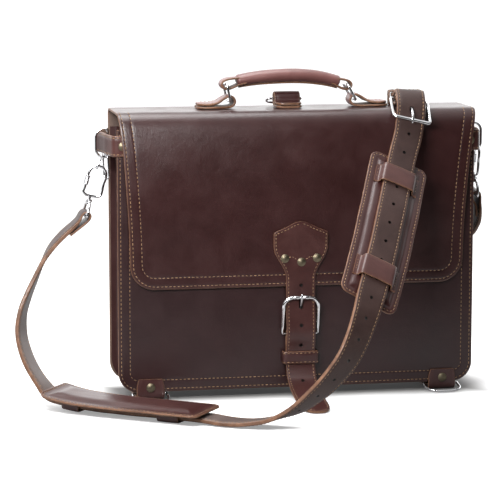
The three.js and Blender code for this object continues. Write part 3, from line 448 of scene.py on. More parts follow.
class Sheet:
    """A sheet running s along a path and x across it.

    at(s) gives position, width direction and normal; half(s) the half width. The far end
    has rounded corners, the start too when start_radius is set. Mesh lines within zone
    of the outline follow it at a constant distance.
    """

    def __init__(self, at, half, length, end_radius, start_radius=0.0, zone=30.0):
        self.at, self.half, self.length, self.zone = at, half, length, zone
        self.end_radius, self.start_radius = end_radius, start_radius

    def corner(self, a, c, radius):
        """Distances from two edges of a square corner, moved onto the rounded one."""
        if a >= self.zone or c >= self.zone:
            return a, c
        d = min(a, c)
        span = self.zone - d
        part = (self.zone - c) / (2 * span) if a <= c else 0.5 + (a - c) / (2 * span)
        bend = max(radius - d, 0.0)
        straight = span - bend
        total = 2 * straight + bend * math.pi / 2
        run = part * total
        if run < straight:
            return d, self.zone - run
        if run > total - straight:
            return self.zone - (total - run), d
        if bend < 1e-6:
            return d, d
        angle = (run - straight) / bend
        return d + bend * (1 - math.cos(angle)), d + bend * (1 - math.sin(angle))

    def inset_point(self, inset, side, s):
        """(x, s) at an inset from a side edge (side -1 or 1), carried round the corners."""
        gap = self.length - s
        if gap < self.zone:
            inset, gap = self.corner(inset, gap, self.end_radius)
            s = self.length - gap
        elif self.start_radius and s < self.zone:
            inset, s = self.corner(inset, s, self.start_radius)
        return side * (self.half(s) - inset), s

    def grid(self, step_x, step_s, rings):
        """Columns as (side, inset or share of the inner width), and the s of each row."""
        edge = [*rings, self.zone]
        inner = self.half(self.length / 2) - self.zone
        count = max(2, int(round(2 * inner / step_x)))
        columns = [(-1, q) for q in edge] + [(0, i / count) for i in range(1, count)]
        columns += [(1, q) for q in reversed(edge)]
        start = edge if self.start_radius else [0.0]
        end = [self.length - q for q in reversed(edge)]
        gap = end[0] - start[-1]
        count = max(2, int(round(gap / step_s)))
        return columns, start + [start[-1] + gap * i / count for i in range(1, count)] + end

    def fill(self, build, front, back, rings, step_x=6.0, step_s=6.0, back_slot=BACK):
        """Meshes the sheet.

        front and back take x, s and the distance to the outline, and say how far each
        face stands off the middle surface.
        """
        columns, stations = self.grid(step_x, step_s, rings)
        width, height = len(columns), len(stations)
        fronts, backs, middle, wear = [], [], [], []
        for s in stations:
            from_ends = min(self.length - s, s if self.start_radius else 1e9)
            for side, q in columns:
                if side:
                    x, place = self.inset_point(q, side, s)
                    edge = min(q, from_ends)
                else:
                    inner = self.half(s) - self.zone
                    x, place, edge = -inner + 2 * inner * q, s, from_ends
                point, across, normal = self.at(place)
                point = point + across * x
                middle.append(point)
                fronts.append(point + normal * front(x, place, edge))
                backs.append(point - normal * back(x, place, edge))
                wear.append(math.exp(-max(edge - 0.5, 0) / 1.6))
        fronts, backs, middle = map(np.array, (fronts, backs, middle))
        f, b = build.add(fronts, wear), build.add(backs, wear)
        for i in range(height - 1):
            for j in range(width - 1):
                a = i * width + j
                c = a + width
                build.face((f + a, f + c, f + c + 1, f + a + 1), FACE)
                build.face((b + a, b + a + 1, b + c + 1, b + c), back_slot)
        self.rim(build, width, height, fronts, backs, middle, (f, b))

    def rim(self, build, width, height, fronts, backs, middle, bases):
        """Joins front and back round the outline with a rounded edge."""
        loop = np.array(
            [*range(width)]
            + [i * width + width - 1 for i in range(1, height)]
            + [(height - 1) * width + j for j in range(width - 2, -1, -1)]
            + [i * width for i in range(height - 2, 0, -1)]
        )
        i, j = np.divmod(loop, width)
        inside = np.clip(i, 1, height - 2) * width + np.clip(j, 1, width - 2)
        outward = unit(middle[loop] - middle[inside])
        centre = (fronts[loop] + backs[loop]) / 2
        rise = (fronts[loop] - backs[loop]) / 2
        levels = [bases[0] + loop]
        for out, share in SHEET_RIM:
            first = build.add(centre + rise * share + outward * out, 1.0)
            levels.append(first + np.arange(len(loop)))
        levels.append(bases[1] + loop)
        for q in range(len(loop)):
            r = (q + 1) % len(loop)
            for near, far in zip(levels, levels[1:]):
                build.face((near[q], far[q], far[r], near[r]), EDGE)

    def line(self, inset, start, to_end=True, step=2.0):
        """(x, s) polyline at an inset: from s = start round one end and back again."""
        stop = self.length - inset if to_end else inset
        stations = [*np.arange(start, stop, step if to_end else -step), stop]
        inner = self.half(stop) - self.zone
        return [
            *(self.inset_point(inset, -1, s) for s in stations),
            *(self.inset_point(a, -1, stop) for a in np.arange(inset, self.zone, step / 2)),
            *((x, stop) for x in np.arange(-inner, inner, step)),
            *(self.inset_point(a, 1, stop) for a in np.arange(self.zone, inset, -step / 2)),
            *(self.inset_point(inset, 1, s) for s in reversed(stations)),
        ]

    def stitch(self, build, line, height, side=1, **sizes):
        """Stitches along an (x, s) line; height is a number or a function of x and s."""
        points, normals = [], []
        for x, s in line:
            point, across, normal = self.at(s)
            rise = height(x, s) if callable(height) else height
            points.append(point + across * x + normal * (side * rise))
            normals.append(normal * side)
        stitches(build, points, normals, **sizes)


def flat_sheet(y, top, half, length, end_radius, zone=30.0):
    """An upright sheet facing the front, s running down from its top."""
    at = lambda s: (np.array([0, y, top - s]), X, -Y)
    return Sheet(at, lambda s: half, length, end_radius, zone=zone)


def curved_at(points, widths, normals):
    """at(s) for a sheet along dense points, and the run length of each point."""
    run = run_length(points)

    def at(s):
        s = min(max(s, run[0]), run[-1])
        i = min(max(int(np.searchsorted(run, s, side="right") - 1), 0), len(run) - 2)
        f = (s - run[i]) / (run[i + 1] - run[i])
        point, width, normal = (
            rows[i] * (1 - f) + rows[i + 1] * f for rows in (points, widths, normals)
        )
        return point, unit(width), unit(normal)

    return at, run


def groove(edge, place, depth, width=0.3):
    return depth * math.exp(-(((edge - place) / width) ** 2))


def soften(edge, depth):
    """Height lost close to the outline."""
    return depth * math.exp(-max(edge - 0.5, 0) / 0.6)


# ---------- shader nodes ----------
class Nodes:
    """Short calls for the node tree of a material or world."""

    def __init__(self, owner):
        owner.use_nodes = True
        self.tree = owner.node_tree
        self.tree.nodes.clear()

    def put(self, socket, value):
        """Links another socket, or sets a value; colours are given as three numbers."""
        if isinstance(value, bpy.types.NodeSocket):
            self.tree.links.new(value, socket)
        else:
            socket.default_value = (*value, 1) if socket.type == "RGBA" else value

    def set(self, node, **values):
        """Sets inputs (underscores stand for spaces), or else properties, by name."""
        for name, value in values.items():
            socket = name.replace("_", " ")
            if socket in node.inputs.keys():
                self.put(node.inputs[socket], value)
            else:
                setattr(node, name, value)

    def node(self, kind, **values):
        node = self.tree.nodes.new("ShaderNode" + kind)
        self.set(node, **values)
        return node

    def coords(self, scale=(1, 1, 1)):
        place = self.node("TexCoord").outputs["Object"]
        return self.node("Mapping", Scale=scale, Vector=place).outputs["Vector"]

    def noise(self, coords, scale, detail=3.0, rough=0.55, distortion=0.0):
        return self.node(
            "TexNoise", Scale=scale, Detail=detail, Roughness=rough, Distortion=distortion,
            Vector=coords,
        ).outputs["Fac"]

    def ramp(self, value, *stops):
        """Colour ramp; stops are (position, colour)."""
        node = self.node("ValToRGB", Fac=value)
        elements = node.color_ramp.elements
        while len(elements) < len(stops):
            elements.new(0.5)
        for i, (position, colour) in enumerate(stops):
            elements[i].position = position
            elements[i].color = (*colour, 1)
        return node.outputs["Color"]

    def mix(self, factor, a, b):
        node = self.node("Mix", data_type="RGBA")
        # sockets 0, 6 and 7 are the factor and the two colours, output 2 the colour
        for index, value in ((0, factor), (6, a), (7, b)):
            self.put(node.inputs[index], value)
        return node.outputs[2]

    def math(self, operation, a, b=0.5, clamp=False):
        node = self.node("Math", operation=operation, use_clamp=clamp)
        self.put(node.inputs[0], a)
        self.put(node.inputs[1], b)
        return node.outputs[0]

    def remap(self, value, start, end, low, high, interpolation="LINEAR"):
        return self.node(
            "MapRange", From_Min=start, From_Max=end, To_Min=low, To_Max=high, Value=value,
            interpolation_type=interpolation,
        ).outputs["Result"]

    def bump(self, shader, *layers):
        """Chained bumps; layers are (height, strength, distance in metres)."""
        for i, (height, strength, distance) in enumerate(layers):
            node = self.node("Bump", Strength=strength, Distance=distance, Height=height)
            if i:
                self.put(node.inputs["Normal"], normal)
            normal = node.outputs["Normal"]
        self.put(shader.inputs["Normal"], normal)


def new_material(name):
    material = bpy.data.materials.new(name)
    nodes = Nodes(material)
    output = nodes.node("OutputMaterial")
    shader = nodes.node("BsdfPrincipled")
    nodes.set(output, Surface=shader.outputs["BSDF"])
    return material, nodes, shader, output


def scaled(colour, factor):
    return [q * factor for q in colour]


# ---------- materials ----------
def bow_height(nodes, coords, slope):
    """Very shallow bow above a level, as a height in metres."""
    z = nodes.node("SeparateXYZ", Vector=coords).outputs["Z"]
    level, reach = 0.195, 0.22
    above = nodes.math("MAXIMUM", nodes.math("SUBTRACT", z, level), 0.0)
    return nodes.math("MULTIPLY", nodes.math("POWER", above, 2.0), -slope / reach)


def leather(
    name, dark, middle, light, edge, rough=(0.30, 0.42), grain=0.16, mottle=0.5, coat=0.16,
    edge_amount=0.6, lean=0.0, specular=0.46,
):
    """Mottled, grained hide whose worn places turn towards the edge colour."""
    material, nodes, shader, _ = new_material(name)
    math_of = nodes.math
    coords = nodes.coords()
    broad = nodes.noise(coords, scale=7.0, distortion=0.6)
    medium = nodes.noise(coords, scale=38.0, detail=5.0, rough=0.62, distortion=0.4)
    cloud = math_of(
        "ADD", math_of("MULTIPLY", broad, 1 - mottle), math_of("MULTIPLY", medium, mottle)
    )
    colour = nodes.ramp(cloud, (0.36, dark), (0.5, middle), (0.66, light))
    fine = nodes.noise(coords, scale=650.0, rough=0.6)
    colour = nodes.mix(math_of("MULTIPLY", fine, 0.35), colour, scaled(middle, 0.62))
    # pale scuffs drawn out in level streaks
    streaks = nodes.noise(
        nodes.coords((18, 18, 420)), scale=1.0, detail=4.0, rough=0.7, distortion=1.2
    )
    scuff = nodes.ramp(streaks, (0.62, (0, 0, 0)), (0.74, (1, 1, 1)))
    pale = [min(1, q * 2.2 + 0.02) for q in light]
    colour = nodes.mix(math_of("MULTIPLY", scuff, 0.10), colour, pale)
    wear = nodes.node("Attribute", attribute_name="wear").outputs["Fac"]
    worn = math_of("MULTIPLY", wear, math_of("ADD", medium, 0.25))
    colour = nodes.mix(math_of("MULTIPLY", worn, edge_amount, clamp=True), colour, edge)
    blotch = math_of(
        "ADD", math_of("MULTIPLY", medium, 0.7), math_of("MULTIPLY", fine, 0.3)
    )
    nodes.set(
        shader, Base_Color=colour, Roughness=nodes.remap(blotch, 0.35, 0.7, *rough),
        Specular_IOR_Level=specular, Coat_Weight=coat, Coat_Roughness=0.27,
    )
    cells = nodes.node("TexVoronoi", Scale=900.0, feature="SMOOTH_F1", Vector=coords)
    pores = nodes.noise(coords, scale=2100.0, detail=2.0, rough=0.6)
    creases = nodes.noise(coords, scale=120.0, detail=6.0, rough=0.62, distortion=0.5)
    layers = [
        (creases, 0.35 * grain / 0.16, 0.0006),
        (cells.outputs["Distance"], grain, 0.0005),
        (pores, 0.10, 0.0002),
    ]
    if lean:
        layers.append((bow_height(nodes, coords, lean), 1.0, 1.0))
    nodes.bump(shader, *layers)
    return material


def raw_edge(name, dark, middle, light):
    material, nodes, shader, _ = new_material(name)
    coords = nodes.coords()
    fibre = nodes.noise(coords, scale=90.0, detail=5.0, rough=0.65, distortion=0.6)
    fine = nodes.noise(coords, scale=900.0, detail=2.0, rough=0.6)
    colour = nodes.ramp(fibre, (0.33, dark), (0.5, middle), (0.68, light))
    colour = nodes.mix(nodes.math("MULTIPLY", fine, 0.4), colour, scaled(dark, 0.55))
    nodes.set(shader, Base_Color=colour, Roughness=0.55, Coat_Weight=0.1)
    nodes.bump(shader, (fine, 0.35, 0.0005), (fibre, 0.3, 0.0008))
    return material


def thread(name, dark, light):
    material, nodes, shader, _ = new_material(name)
    coords = nodes.coords()
    tone = nodes.noise(coords, scale=260.0, rough=0.6)
    colour = nodes.ramp(tone, (0.35, dark), (0.62, light))
    nodes.set(shader, Base_Color=colour, Roughness=0.75, Sheen_Weight=0.2)
    twist = nodes.node(
        "TexWave", Scale=900.0, Distortion=2.0, bands_direction="DIAGONAL", Vector=coords
    )
    nodes.bump(shader, (twist.outputs["Fac"], 0.5, 0.0002))
    return material


def metal(name, colour, dull, rough, patina, speck=0.0):
    """patina: share of dull colour in its patches; speck: extra bump strength."""
    material, nodes, shader, _ = new_material(name)
    coords = nodes.coords()
    patches = nodes.noise(coords, scale=160.0, detail=6.0, rough=0.7, distortion=0.6)
    fine = nodes.noise(coords, scale=1500.0, detail=2.0, rough=0.5)
    mask = nodes.ramp(patches, (0.45 - patina * 0.25, (0, 0, 0)), (0.78, (1, 1, 1)))
    nodes.set(
        shader, Base_Color=nodes.mix(nodes.math("MULTIPLY", mask, patina), colour, dull),
        Metallic=1.0, Roughness=nodes.remap(patches, 0.35, 0.75, *rough),
    )
    nodes.bump(shader, (patches, 0.12 + speck, 0.0003), (fine, 0.04 + speck, 0.0002))
    return material


# Per leather: dark, middle and light colours, worn edge colour, other settings
LEATHERS = {
    "chestnut": (
        (0.035, 0.0105, 0.0098), (0.043, 0.0132, 0.0124), (0.055, 0.0180, 0.0168),
        (0.105, 0.048, 0.032), dict(edge_amount=0.5),
    ),
    "flap": (
        (0.024, 0.0064, 0.0061), (0.031, 0.0083, 0.0080), (0.040, 0.0115, 0.0109),
        (0.105, 0.048, 0.032), dict(edge_amount=0.5, lean=0.21),
    ),
    "panel": (
        (0.019, 0.0062, 0.0066), (0.024, 0.0080, 0.0084), (0.031, 0.0108, 0.0110),
        (0.090, 0.042, 0.030), dict(edge_amount=0.5),
    ),
    "strap": (
        (0.030, 0.0150, 0.0128), (0.042, 0.0215, 0.0185), (0.056, 0.0310, 0.0265),
        (0.13, 0.068, 0.044), dict(rough=(0.46, 0.62), mottle=0.6, coat=0.02, specular=0.3),
    ),
    # back face of the shoulder straps: lighter, greyer colour painted as the sheen of the light
    # on it
    "strap_back_painted_sheen": (
        (0.080, 0.056, 0.050), (0.110, 0.080, 0.072), (0.150, 0.112, 0.102),
        (0.15, 0.09, 0.06),
        dict(rough=(0.36, 0.55), mottle=0.6, coat=0.05, edge_amount=0.5),
    ),
    "reddish": (
        (0.046, 0.0150, 0.0132), (0.064, 0.0215, 0.0185), (0.088, 0.0320, 0.0270),
        (0.15, 0.072, 0.045), dict(mottle=0.6),
    ),
    "closure": (
        (0.036, 0.0112, 0.0100), (0.050, 0.0160, 0.0142), (0.068, 0.0240, 0.0210),
        (0.14, 0.066, 0.042), dict(mottle=0.6),
    ),
    # handle leather, for the grip and its tabs: colours made lighter to paint the strong light
    # falling on the handle
    "handle": (
        (0.115, 0.0430, 0.0390), (0.155, 0.0620, 0.0560), (0.200, 0.0880, 0.0780),
        (0.16, 0.08, 0.05), dict(rough=(0.36, 0.5), mottle=0.6),
    ),
    "flesh_side": (
        (0.085, 0.052, 0.040), (0.120, 0.078, 0.062), (0.160, 0.110, 0.090),
        (0.2, 0.12, 0.08), dict(rough=(0.55, 0.8), grain=0.3, mottle=0.6, coat=0.0),
    ),
    "lining": (
        (0.075, 0.042, 0.028), (0.105, 0.060, 0.040), (0.140, 0.085, 0.058),
        (0.18, 0.10, 0.06), dict(rough=(0.65, 0.85), grain=0.3, coat=0.0),
    ),
}
LEATHER = {
    name: leather(f"leather_{name}", *colours, **settings)
    for name, (*colours, settings) in LEATHERS.items()
}
RAW_EDGE = raw_edge(
    "raw_edge", dark=(0.095, 0.040, 0.019), middle=(0.165, 0.074, 0.037),
    light=(0.250, 0.124, 0.068),
)
# a spare finish: no piece uses it
raw_edge(
    "burnished_edge", dark=(0.030, 0.015, 0.012), middle=(0.060, 0.030, 0.022),
    light=(0.110, 0.058, 0.040),
)
WAXED_THREAD = thread("waxed_thread", dark=(0.16, 0.086, 0.040), light=(0.31, 0.185, 0.092))
CHROME = metal(
    "polished_nickel", colour=(0.80, 0.80, 0.82), dull=(0.58, 0.57, 0.55),
    rough=(0.07, 0.16), patina=0.25,
)
RIVET = metal(
    "aged_rivet", colour=(0.24, 0.205, 0.140), dull=(0.09, 0.070, 0.045),
    rough=(0.36, 0.60), patina=0.75, speck=0.25,
)
# walls of punched holes: near-black colour painted as the shade inside the holes
HOLE_WALL_PAINTED_SHADE = raw_edge(
    "hole_wall_painted_shade", dark=(0.004, 0.003, 0.003), middle=(0.008, 0.005, 0.004),
    light=(0.014, 0.008, 0.006),
)


# ---------- finished pieces ----------
def leathers(face="chestnut", back="flesh_side"):
    """Materials of a leather piece, in slot order."""
    return [LEATHER[face], RAW_EDGE, LEATHER[back], WAXED_THREAD, HOLE_WALL_PAINTED_SHADE]


STRAP_LEATHERS = leathers("strap", "strap_back_painted_sheen")


def settle(obj, node, body):
    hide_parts(node)
    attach(obj, body)


def leather_piece(build, node, body="bag_body", materials=None):
    settle(build.object(f"{node}_leather", materials or leathers()), node, body)


def metal_piece(build, node, body, material=CHROME, sharp=0):
    settle(build.object(f"{node}_metal", [material], sharp), node, body)


def cut(obj, build):
    """Boolean difference; the walls take the hole material, painted near-black as shade."""
    cutter = build.object("cutter", list(obj.data.materials), sharp=0)
    before = len(obj.data.polygons)
    # A failed cut loses much of the mesh; the next solver is then tried.
    for solver, self_crossing in (("EXACT", False), ("EXACT", True), ("FAST", False)):
        modifier = obj.modifiers.new("cut", "BOOLEAN")
        modifier.operation = "DIFFERENCE"
        modifier.solver = solver
        modifier.object = cutter
        if solver == "EXACT":
            modifier.use_self = self_crossing
        graph = bpy.context.evaluated_depsgraph_get()
        mesh = bpy.data.meshes.new_from_object(obj.evaluated_get(graph))
        obj.modifiers.clear()
        if len(mesh.polygons) > before * 0.9:
            break
    old, cutter_mesh = obj.data, cutter.data
    obj.data = mesh
    mesh.name = old.name
    bpy.data.meshes.remove(old)
    bpy.data.objects.remove(cutter)
    bpy.data.meshes.remove(cutter_mesh)
    mesh.set_sharp_from_angle(angle=math.radians(50))


def cut_round(obj, rods, sides):
    """Cuts round holes; rods are (start, end, radius)."""
    build = Build()
    for start, end, radius in rods:
        axis = np.asarray(end, float) - np.asarray(start, float)
        depth = np.linalg.norm(axis)
        profile = [(0, 0), (radius, 0), (radius, depth), (0, depth)]
        lathe(build, profile, sides, start, axis, HOLE)
    cut(obj, build)


def cut_prism(obj, outline, origin, u, v, depth):
    """Cuts a hole whose outline lies in u and v, running along u x v."""
    build = Build()
    count = len(outline)
    near = in_plane(outline, origin, u, v)
    low = build.add(near)
    high = build.add(np.array(near) + unit(np.cross(u, v)) * depth)
    build.face(range(low + count - 1, low - 1, -1), HOLE)
    build.face(range(high, high + count), HOLE)
    for j in range(count):
        k = (j + 1) % count
        build.face((low + j, low + k, high + k, high + j), HOLE)
    cut(obj, build)


def join_thread(obj, build, name, materials):
    extra = build.object(name, materials)
    both = [obj, extra]
    with bpy.context.temp_override(
        active_object=obj, selected_objects=both, selected_editable_objects=both
    ):
        bpy.ops.object.join()


def rivet(node, body, foot, head, reach, origin, axis):
    """foot and head are (radius, height) profiles; reach lifts the head."""
    build = Build()
    lathe(build, [*foot, *((r, reach + h) for r, h in head)], 28, origin, axis)
    metal_piece(build, node, body, RIVET, sharp=40)


def d_ring(node, body, half, depth, bend, origin, across, out):
    """D-shaped wire ring; bend is the radius of its far corners."""
    near = 1.5
    outline = [
        *arc(-half + near, near, near, 180, 270, 4), *arc(half - near, near, near, 270, 360, 4),
        *arc(half - bend, depth - bend, bend, 0, 90, 10),
        *arc(-half + bend, depth - bend, bend, 90, 180, 10),
    ]
    build = Build()
    tube(build, in_plane(outline, origin, across, out), 1.4, True, 14)
    metal_piece(build, node, body)


# ======================================================================
# shell
# ======================================================================
# Distances from the outline at which the panel mesh has lines
SHELL_RINGS = (
    0.5, 1.2, 2.2, 2.95, 3.4, 3.85, 5.0, 7.5, 10.0, 12.0, 12.55, 13.0, 13.45, 14.5, 17.5,
    21.0, 25.0,
)
THREAD_SINK = 0.15


def shell_grooves(edge):
    return sum(groove(edge, inset, 0.3, 0.5) for inset in SHELL_STITCH_INSETS)


def front_panel():
    def bulge(x, s):
        """The panel is limp, and fuller low down on both sides of the middle."""
        z = PANEL_TOP - s
        sides = smooth((abs(x) - 34) / 60) * smooth((196 - abs(x)) / 50)
        low = smooth((z - 12) / 45) * smooth((150 - z) / 70)
        ripple = 0.30 * noise3(x / 55, 0.3, z / 55, 2)
        return sides * low + ripple * smooth((abs(x) - 26) / 25)

    def outside(x, s, edge):
        return SHELL_HALF_THICK + bulge(x, s) - shell_grooves(edge) - soften(edge, 0.35)

    build = Build()
    sheet = flat_sheet(PANEL_Y, PANEL_TOP, PANEL_HALF, PANEL_LENGTH, end_radius=22.0)
    inside = lambda x, s, edge: SHELL_HALF_THICK - bulge(x, s) * 0.8
    sheet.fill(build, outside, inside, SHELL_RINGS)
    bed = lambda x, s: SHELL_HALF_THICK + bulge(x, s) - THREAD_SINK
    for inset in SHELL_STITCH_INSETS:
        sheet.stitch(build, sheet.line(inset, 2.0), bed)
    leather_piece(build, "front_panel", materials=leathers("panel"))


# The hide from the foot of the back, over the top, to the lower edge of the flap:
# y, z, half width
HIDE_KEYS = np.array([
    [36.4, 9, 200], [36.4, 120, 200], [36.4, 250, 200], [36.4, 300, 200],
    [36.3, 309.5, 200], [35.3, 313.4, 200], [32.6, 315.2, 200], [28, 315.5, 200],
    [0, 315.4, 200], [-30, 315.4, 200], [-36.4, 315.0, 199.9], [-41.4, 312.4, 199.4],
    [-44.6, 308.0, 198.6], [-46.0, 301, 197.6], [-46.2, 285, 195.6], [-45.2, 260, 193],
    [-43.6, 230, 190.6], [-42.3, 200, 188.6], [-41.5, 170, 187.3], [-41.2, 150, 186.8],
    [-41.2, 123, 186.8],
])
BACK_STITCH_TOP = 292.0  # how far up the hide the back's stitches start


def back_and_flap():
    """Back panel and flap are one hide, bent over the top of the bag."""
    table, _ = spline([[0, *key] for key in HIDE_KEYS], 1.5)
    points = table[:, :3]
    widths = np.tile(X, (len(table), 1))
    at, run = curved_at(points, widths, np.cross(tangents(points), widths))
    length = float(run[-1])
    fold = float(run[np.argmin(np.hypot(points[:, 1] + 43, points[:, 2] - 310.5))])
    half = lambda s: float(np.interp(s, run, table[:, 3]))
    sheet = Sheet(at, half, length, end_radius=27.0, start_radius=22.0)

    def wave(x, s):
        """Gentle unevenness, none where the closure and the tabs lie on the hide."""
        y, z = np.interp(s, run, points[:, 1]), np.interp(s, run, points[:, 2])
        if y > 34:
            return 0.35 * noise3(x / 70, 1.7, z / 70, 5)
        if z > 314.5:
            if 100 < x < 170:
                return 0.0
            clear = smooth((abs(abs(x) - 86) - 24) / 14) * smooth((abs(x + 5) - 20) / 14)
            # the middle of the top sinks a little between its two folds
            sink = -0.9 * smooth((30 - abs(y)) / 20) * smooth((190 - abs(x)) / 40)
            return (sink + 0.25 * noise3(x / 40, y / 40, 0.2, 6)) * clear
        clear = smooth((abs(x - 2) - 34) / 22) if z < 205 else 1.0
        top = smooth((z - 300) / 14)
        # hollow near the fold under the shoulder strap
        dip = -1.1 * math.exp(-(((x - 131) / 13) ** 2)) * smooth((z - 285) / 25)
        broad = 0.45 * noise3(x / 75, 0.4, z / 75, 3)
        small = 0.22 * noise3(x / 24, 0.9, z / 24, 4)
        return (broad + small) * clear * (1 - 0.6 * top) + dip

    def outside(x, s, edge):
        grooves = shell_grooves(edge) if s > fold - 20 or s < 295 else 0.0
        return SHELL_HALF_THICK + wave(x, s) - grooves - soften(edge, 0.35)

    build = Build()
    inside = lambda x, s, edge: SHELL_HALF_THICK - wave(x, s) * 0.8
    sheet.fill(build, outside, inside, SHELL_RINGS, step_s=3.0)
    bed = lambda x, s: SHELL_HALF_THICK + wave(x, s) - THREAD_SINK
    for inset in SHELL_STITCH_INSETS:
        sheet.stitch(build, sheet.line(inset, fold - 16), bed)
        sheet.stitch(build, sheet.line(inset, BACK_STITCH_TOP, to_end=False), bed)
    obj = build.object("back_and_flap_leather", leathers("flap"))
    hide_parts("flap", "back_panel")
    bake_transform(obj)


GUSSET_HALF, GUSSET_BASE, GUSSET_BEND, GUSSET_TOP = 189.0, 20.0, 14.0, 296
GUSSET_HALF_THICK = 1.2
# Across the gusset: y, distance outwards, share of the bow; edges are turned out
GUSSET_SECTION = mirrored([
    [-33.0, 9.4, 0], [-33.0, 4.5, 0], [-32.8, 2.2, 0], [-31.8, 0.7, 0], [-30.0, 0.1, 0],
    [-24, -0.2, -0.25], [-14, 0, -0.6], [-5, 0, -0.92], [0, 0, -1],
])


def gusset():
    """One strip round both sides and the bottom, bowed in along its middle."""
    side, bend = GUSSET_HALF, GUSSET_BEND
    corner_x, corner_z = side - bend, GUSSET_BASE + bend
    run_x = corner_x - 3
    outline = (
        [[-side, z] for z in np.linspace(GUSSET_TOP, corner_z + 2, 40)]
        + arc(-corner_x, corner_z, bend, 180, 270, 12)
        + [[x, GUSSET_BASE] for x in np.linspace(-run_x, run_x, 60)]
        + arc(corner_x, corner_z, bend, 270, 360, 12)
        + [[side, z] for z in np.linspace(corner_z + 2, GUSSET_TOP, 40)]
    )
    path = np.array([[x, 0, z] for x, z in outline])
    outward = np.cross(Y, tangents(path))
    rings = []
    for point, out in zip(path, outward):
        x, _, z = point
        bow = 0.5 * noise3(z / 40, x / 60, 0.1, 7)
        if z < 268:
            bow = max(0.0, bow + (0.0 if abs(x) > side - 1 else 0.3))
        else:
            bow += 0.9 + 5.0 * smooth((z - 269) / 14)
        middle = np.array([[a + share * bow, y] for y, a, share in GUSSET_SECTION])
        slope = np.gradient(middle, axis=0)
        normal = unit(np.stack([slope[:, 1], -slope[:, 0]], 1)) * GUSSET_HALF_THICK
        ring = np.vstack([middle + normal, (middle - normal)[::-1]])
        rings.append([point + out * a + Y * c for a, c in ring])
    count = len(GUSSET_SECTION) - 1
    build = Build()
    slots = [FACE] * count + [EDGE] + [BACK] * count + [EDGE]
    sweep(build, rings[::-1], slots, cap=EDGE)
    leather_piece(build, "gusset", materials=leathers("chestnut", "lining"))


def inner_divider():
    half_thick, inset = 1.2, 3.4
    sheet = flat_sheet(y=4.0, top=268, half=187.0, length=245.0, end_radius=14.0)
    build = Build()
    sheet.fill(
        build,
        lambda x, s, edge: half_thick - groove(edge, inset, 0.15, 0.5),
        lambda x, s, edge: half_thick,
        (0.5, 1.5, 2.9, 3.4, 3.9, 6, 12, 20), step_x=12, step_s=12,
    )
    sheet.stitch(build, [(x, 4.0) for x in np.arange(-183, 183, 3.0)], half_thick)
    leather_piece(
        build, "inner_divider", materials=leathers("lining", "lining")
    )


def inner_pocket():
    """A pocket sewn flat round its outline and standing out within it."""
    half, length, inset, low = 95.0, 130.0, 3.0, -0.6
    sheet = flat_sheet(y=-0.2, top=200, half=half, length=length, end_radius=8.0, zone=24)
    from_edge = lambda x, s: min(half - abs(x), length - s)
    puff = lambda x, s: 2.2 * smooth((from_edge(x, s) - 4) / 6)
    build = Build()
    sheet.fill(
        build,
        lambda x, s, edge: low + puff(x, s) - groove(from_edge(x, s), inset, 0.2, 0.5),
        lambda x, s, edge: 2.4 - puff(x, s),
        (0.5, 1.5, 2.5, 3.0, 3.5, 5, 7, 9, 12, 16), step_x=8, step_s=8,
    )
    sheet.stitch(build, sheet.line(inset, 1.0), low)
    leather_piece(
        build, "inner_pocket", materials=leathers("lining", "lining")
    )


# ======================================================================
# ring tabs, rivets and rings on the shell
# ======================================================================
SIDE_TAB_Z, BOTTOM_TAB_X = 281.0, 165.0
# Side tab, wrapped round the gusset from front to back: x, y
SIDE_TAB = [
    [186, -39.7], [192, -39.8], [197, -39.9], [203, -38.8], [205.8, -30], [208.2, -15],
    [209.2, 0], [210.9, 12], [213, 22], [209.5, 33], [203, 38.8], [197, 39.9],
    [192, 39.8], [186, 39.7],
]
SIDE_TAB_HALVES = [9.5, 11.2] + [11.4] * 10 + [11.2, 9.5]
# Bottom tab, wrapped under the bag: y, z
BOTTOM_TAB = mirrored([
    [-39.7, 23.6], [-39.8, 16], [-39.9, 9], [-39.2, 4.2], [-36, 1.7], [-20, 1.4], [0, 1.4],
])
BOTTOM_TAB_HALVES = [13.2, 15.2] + [15.4] * 9 + [15.2, 13.2]
# Shell rivet: radius, height
SHELL_RIVET_FOOT = [(0, -1.2), (2.5, -1.2), (2.8, -1.0), (2.8, 0), (1.5, 0)]
SHELL_RIVET_HEAD = [
    (1.5, 9.6), (4.6, 9.6), (4.9, 9.75), (4.95, 10.0), (4.8, 10.3), (4.35, 10.55),
    (3.9, 10.75), (3.0, 11.15), (1.9, 11.5), (0.9, 11.68), (0, 11.72),
]


def shell_hardware(side, sign):
    build = Build()
    points = [(sign * x, y, SIDE_TAB_Z) for x, y in SIDE_TAB]
    path = Path(strip_keys(points, Z * sign, SIDE_TAB_HALVES, 2.5), 1.6)
    strap(build, path, inset=2.4, groove=0.18, crown=0.15, cols=5, ref=11.4)
    leather_piece(build, f"side_tab_{side}", materials=leathers("reddish"))

    build = Build()
    points = [(sign * BOTTOM_TAB_X, y, z) for y, z in BOTTOM_TAB]
    path = Path(strip_keys(points, X, BOTTOM_TAB_HALVES, 2.4), 1.6)
    strap(build, path, inset=2.6, groove=0.18, crown=0.1, cols=6, ref=15.4, rows=False)
    leather_piece(build, f"bottom_tab_{side}")

    for where, facing in (("front", -1), ("back", 1)):
        for kind, x, z in (("side", 194, SIDE_TAB_Z), ("bottom", BOTTOM_TAB_X, 14.5)):
            rivet(
                f"{kind}_rivet_{side}_{where}", "bag_body",
                SHELL_RIVET_FOOT, SHELL_RIVET_HEAD, reach=0.0,
                origin=(sign * x, facing * 31.8, z), axis=(0, facing, 0),
            )
    d_ring(
        f"side_d_ring_{side}", f"side_ring_{side}", half=15.4, depth=13, bend=8.5,
        origin=(sign * 205, 0, SIDE_TAB_Z), across=Z, out=X * sign,
    )
    d_ring(
        f"bottom_d_ring_{side}", f"bottom_ring_{side}", half=19, depth=24.5, bend=13,
        origin=(sign * BOTTOM_TAB_X, -34, 6.4), across=X, out=unit([0, -0.985, -0.174]),
    )


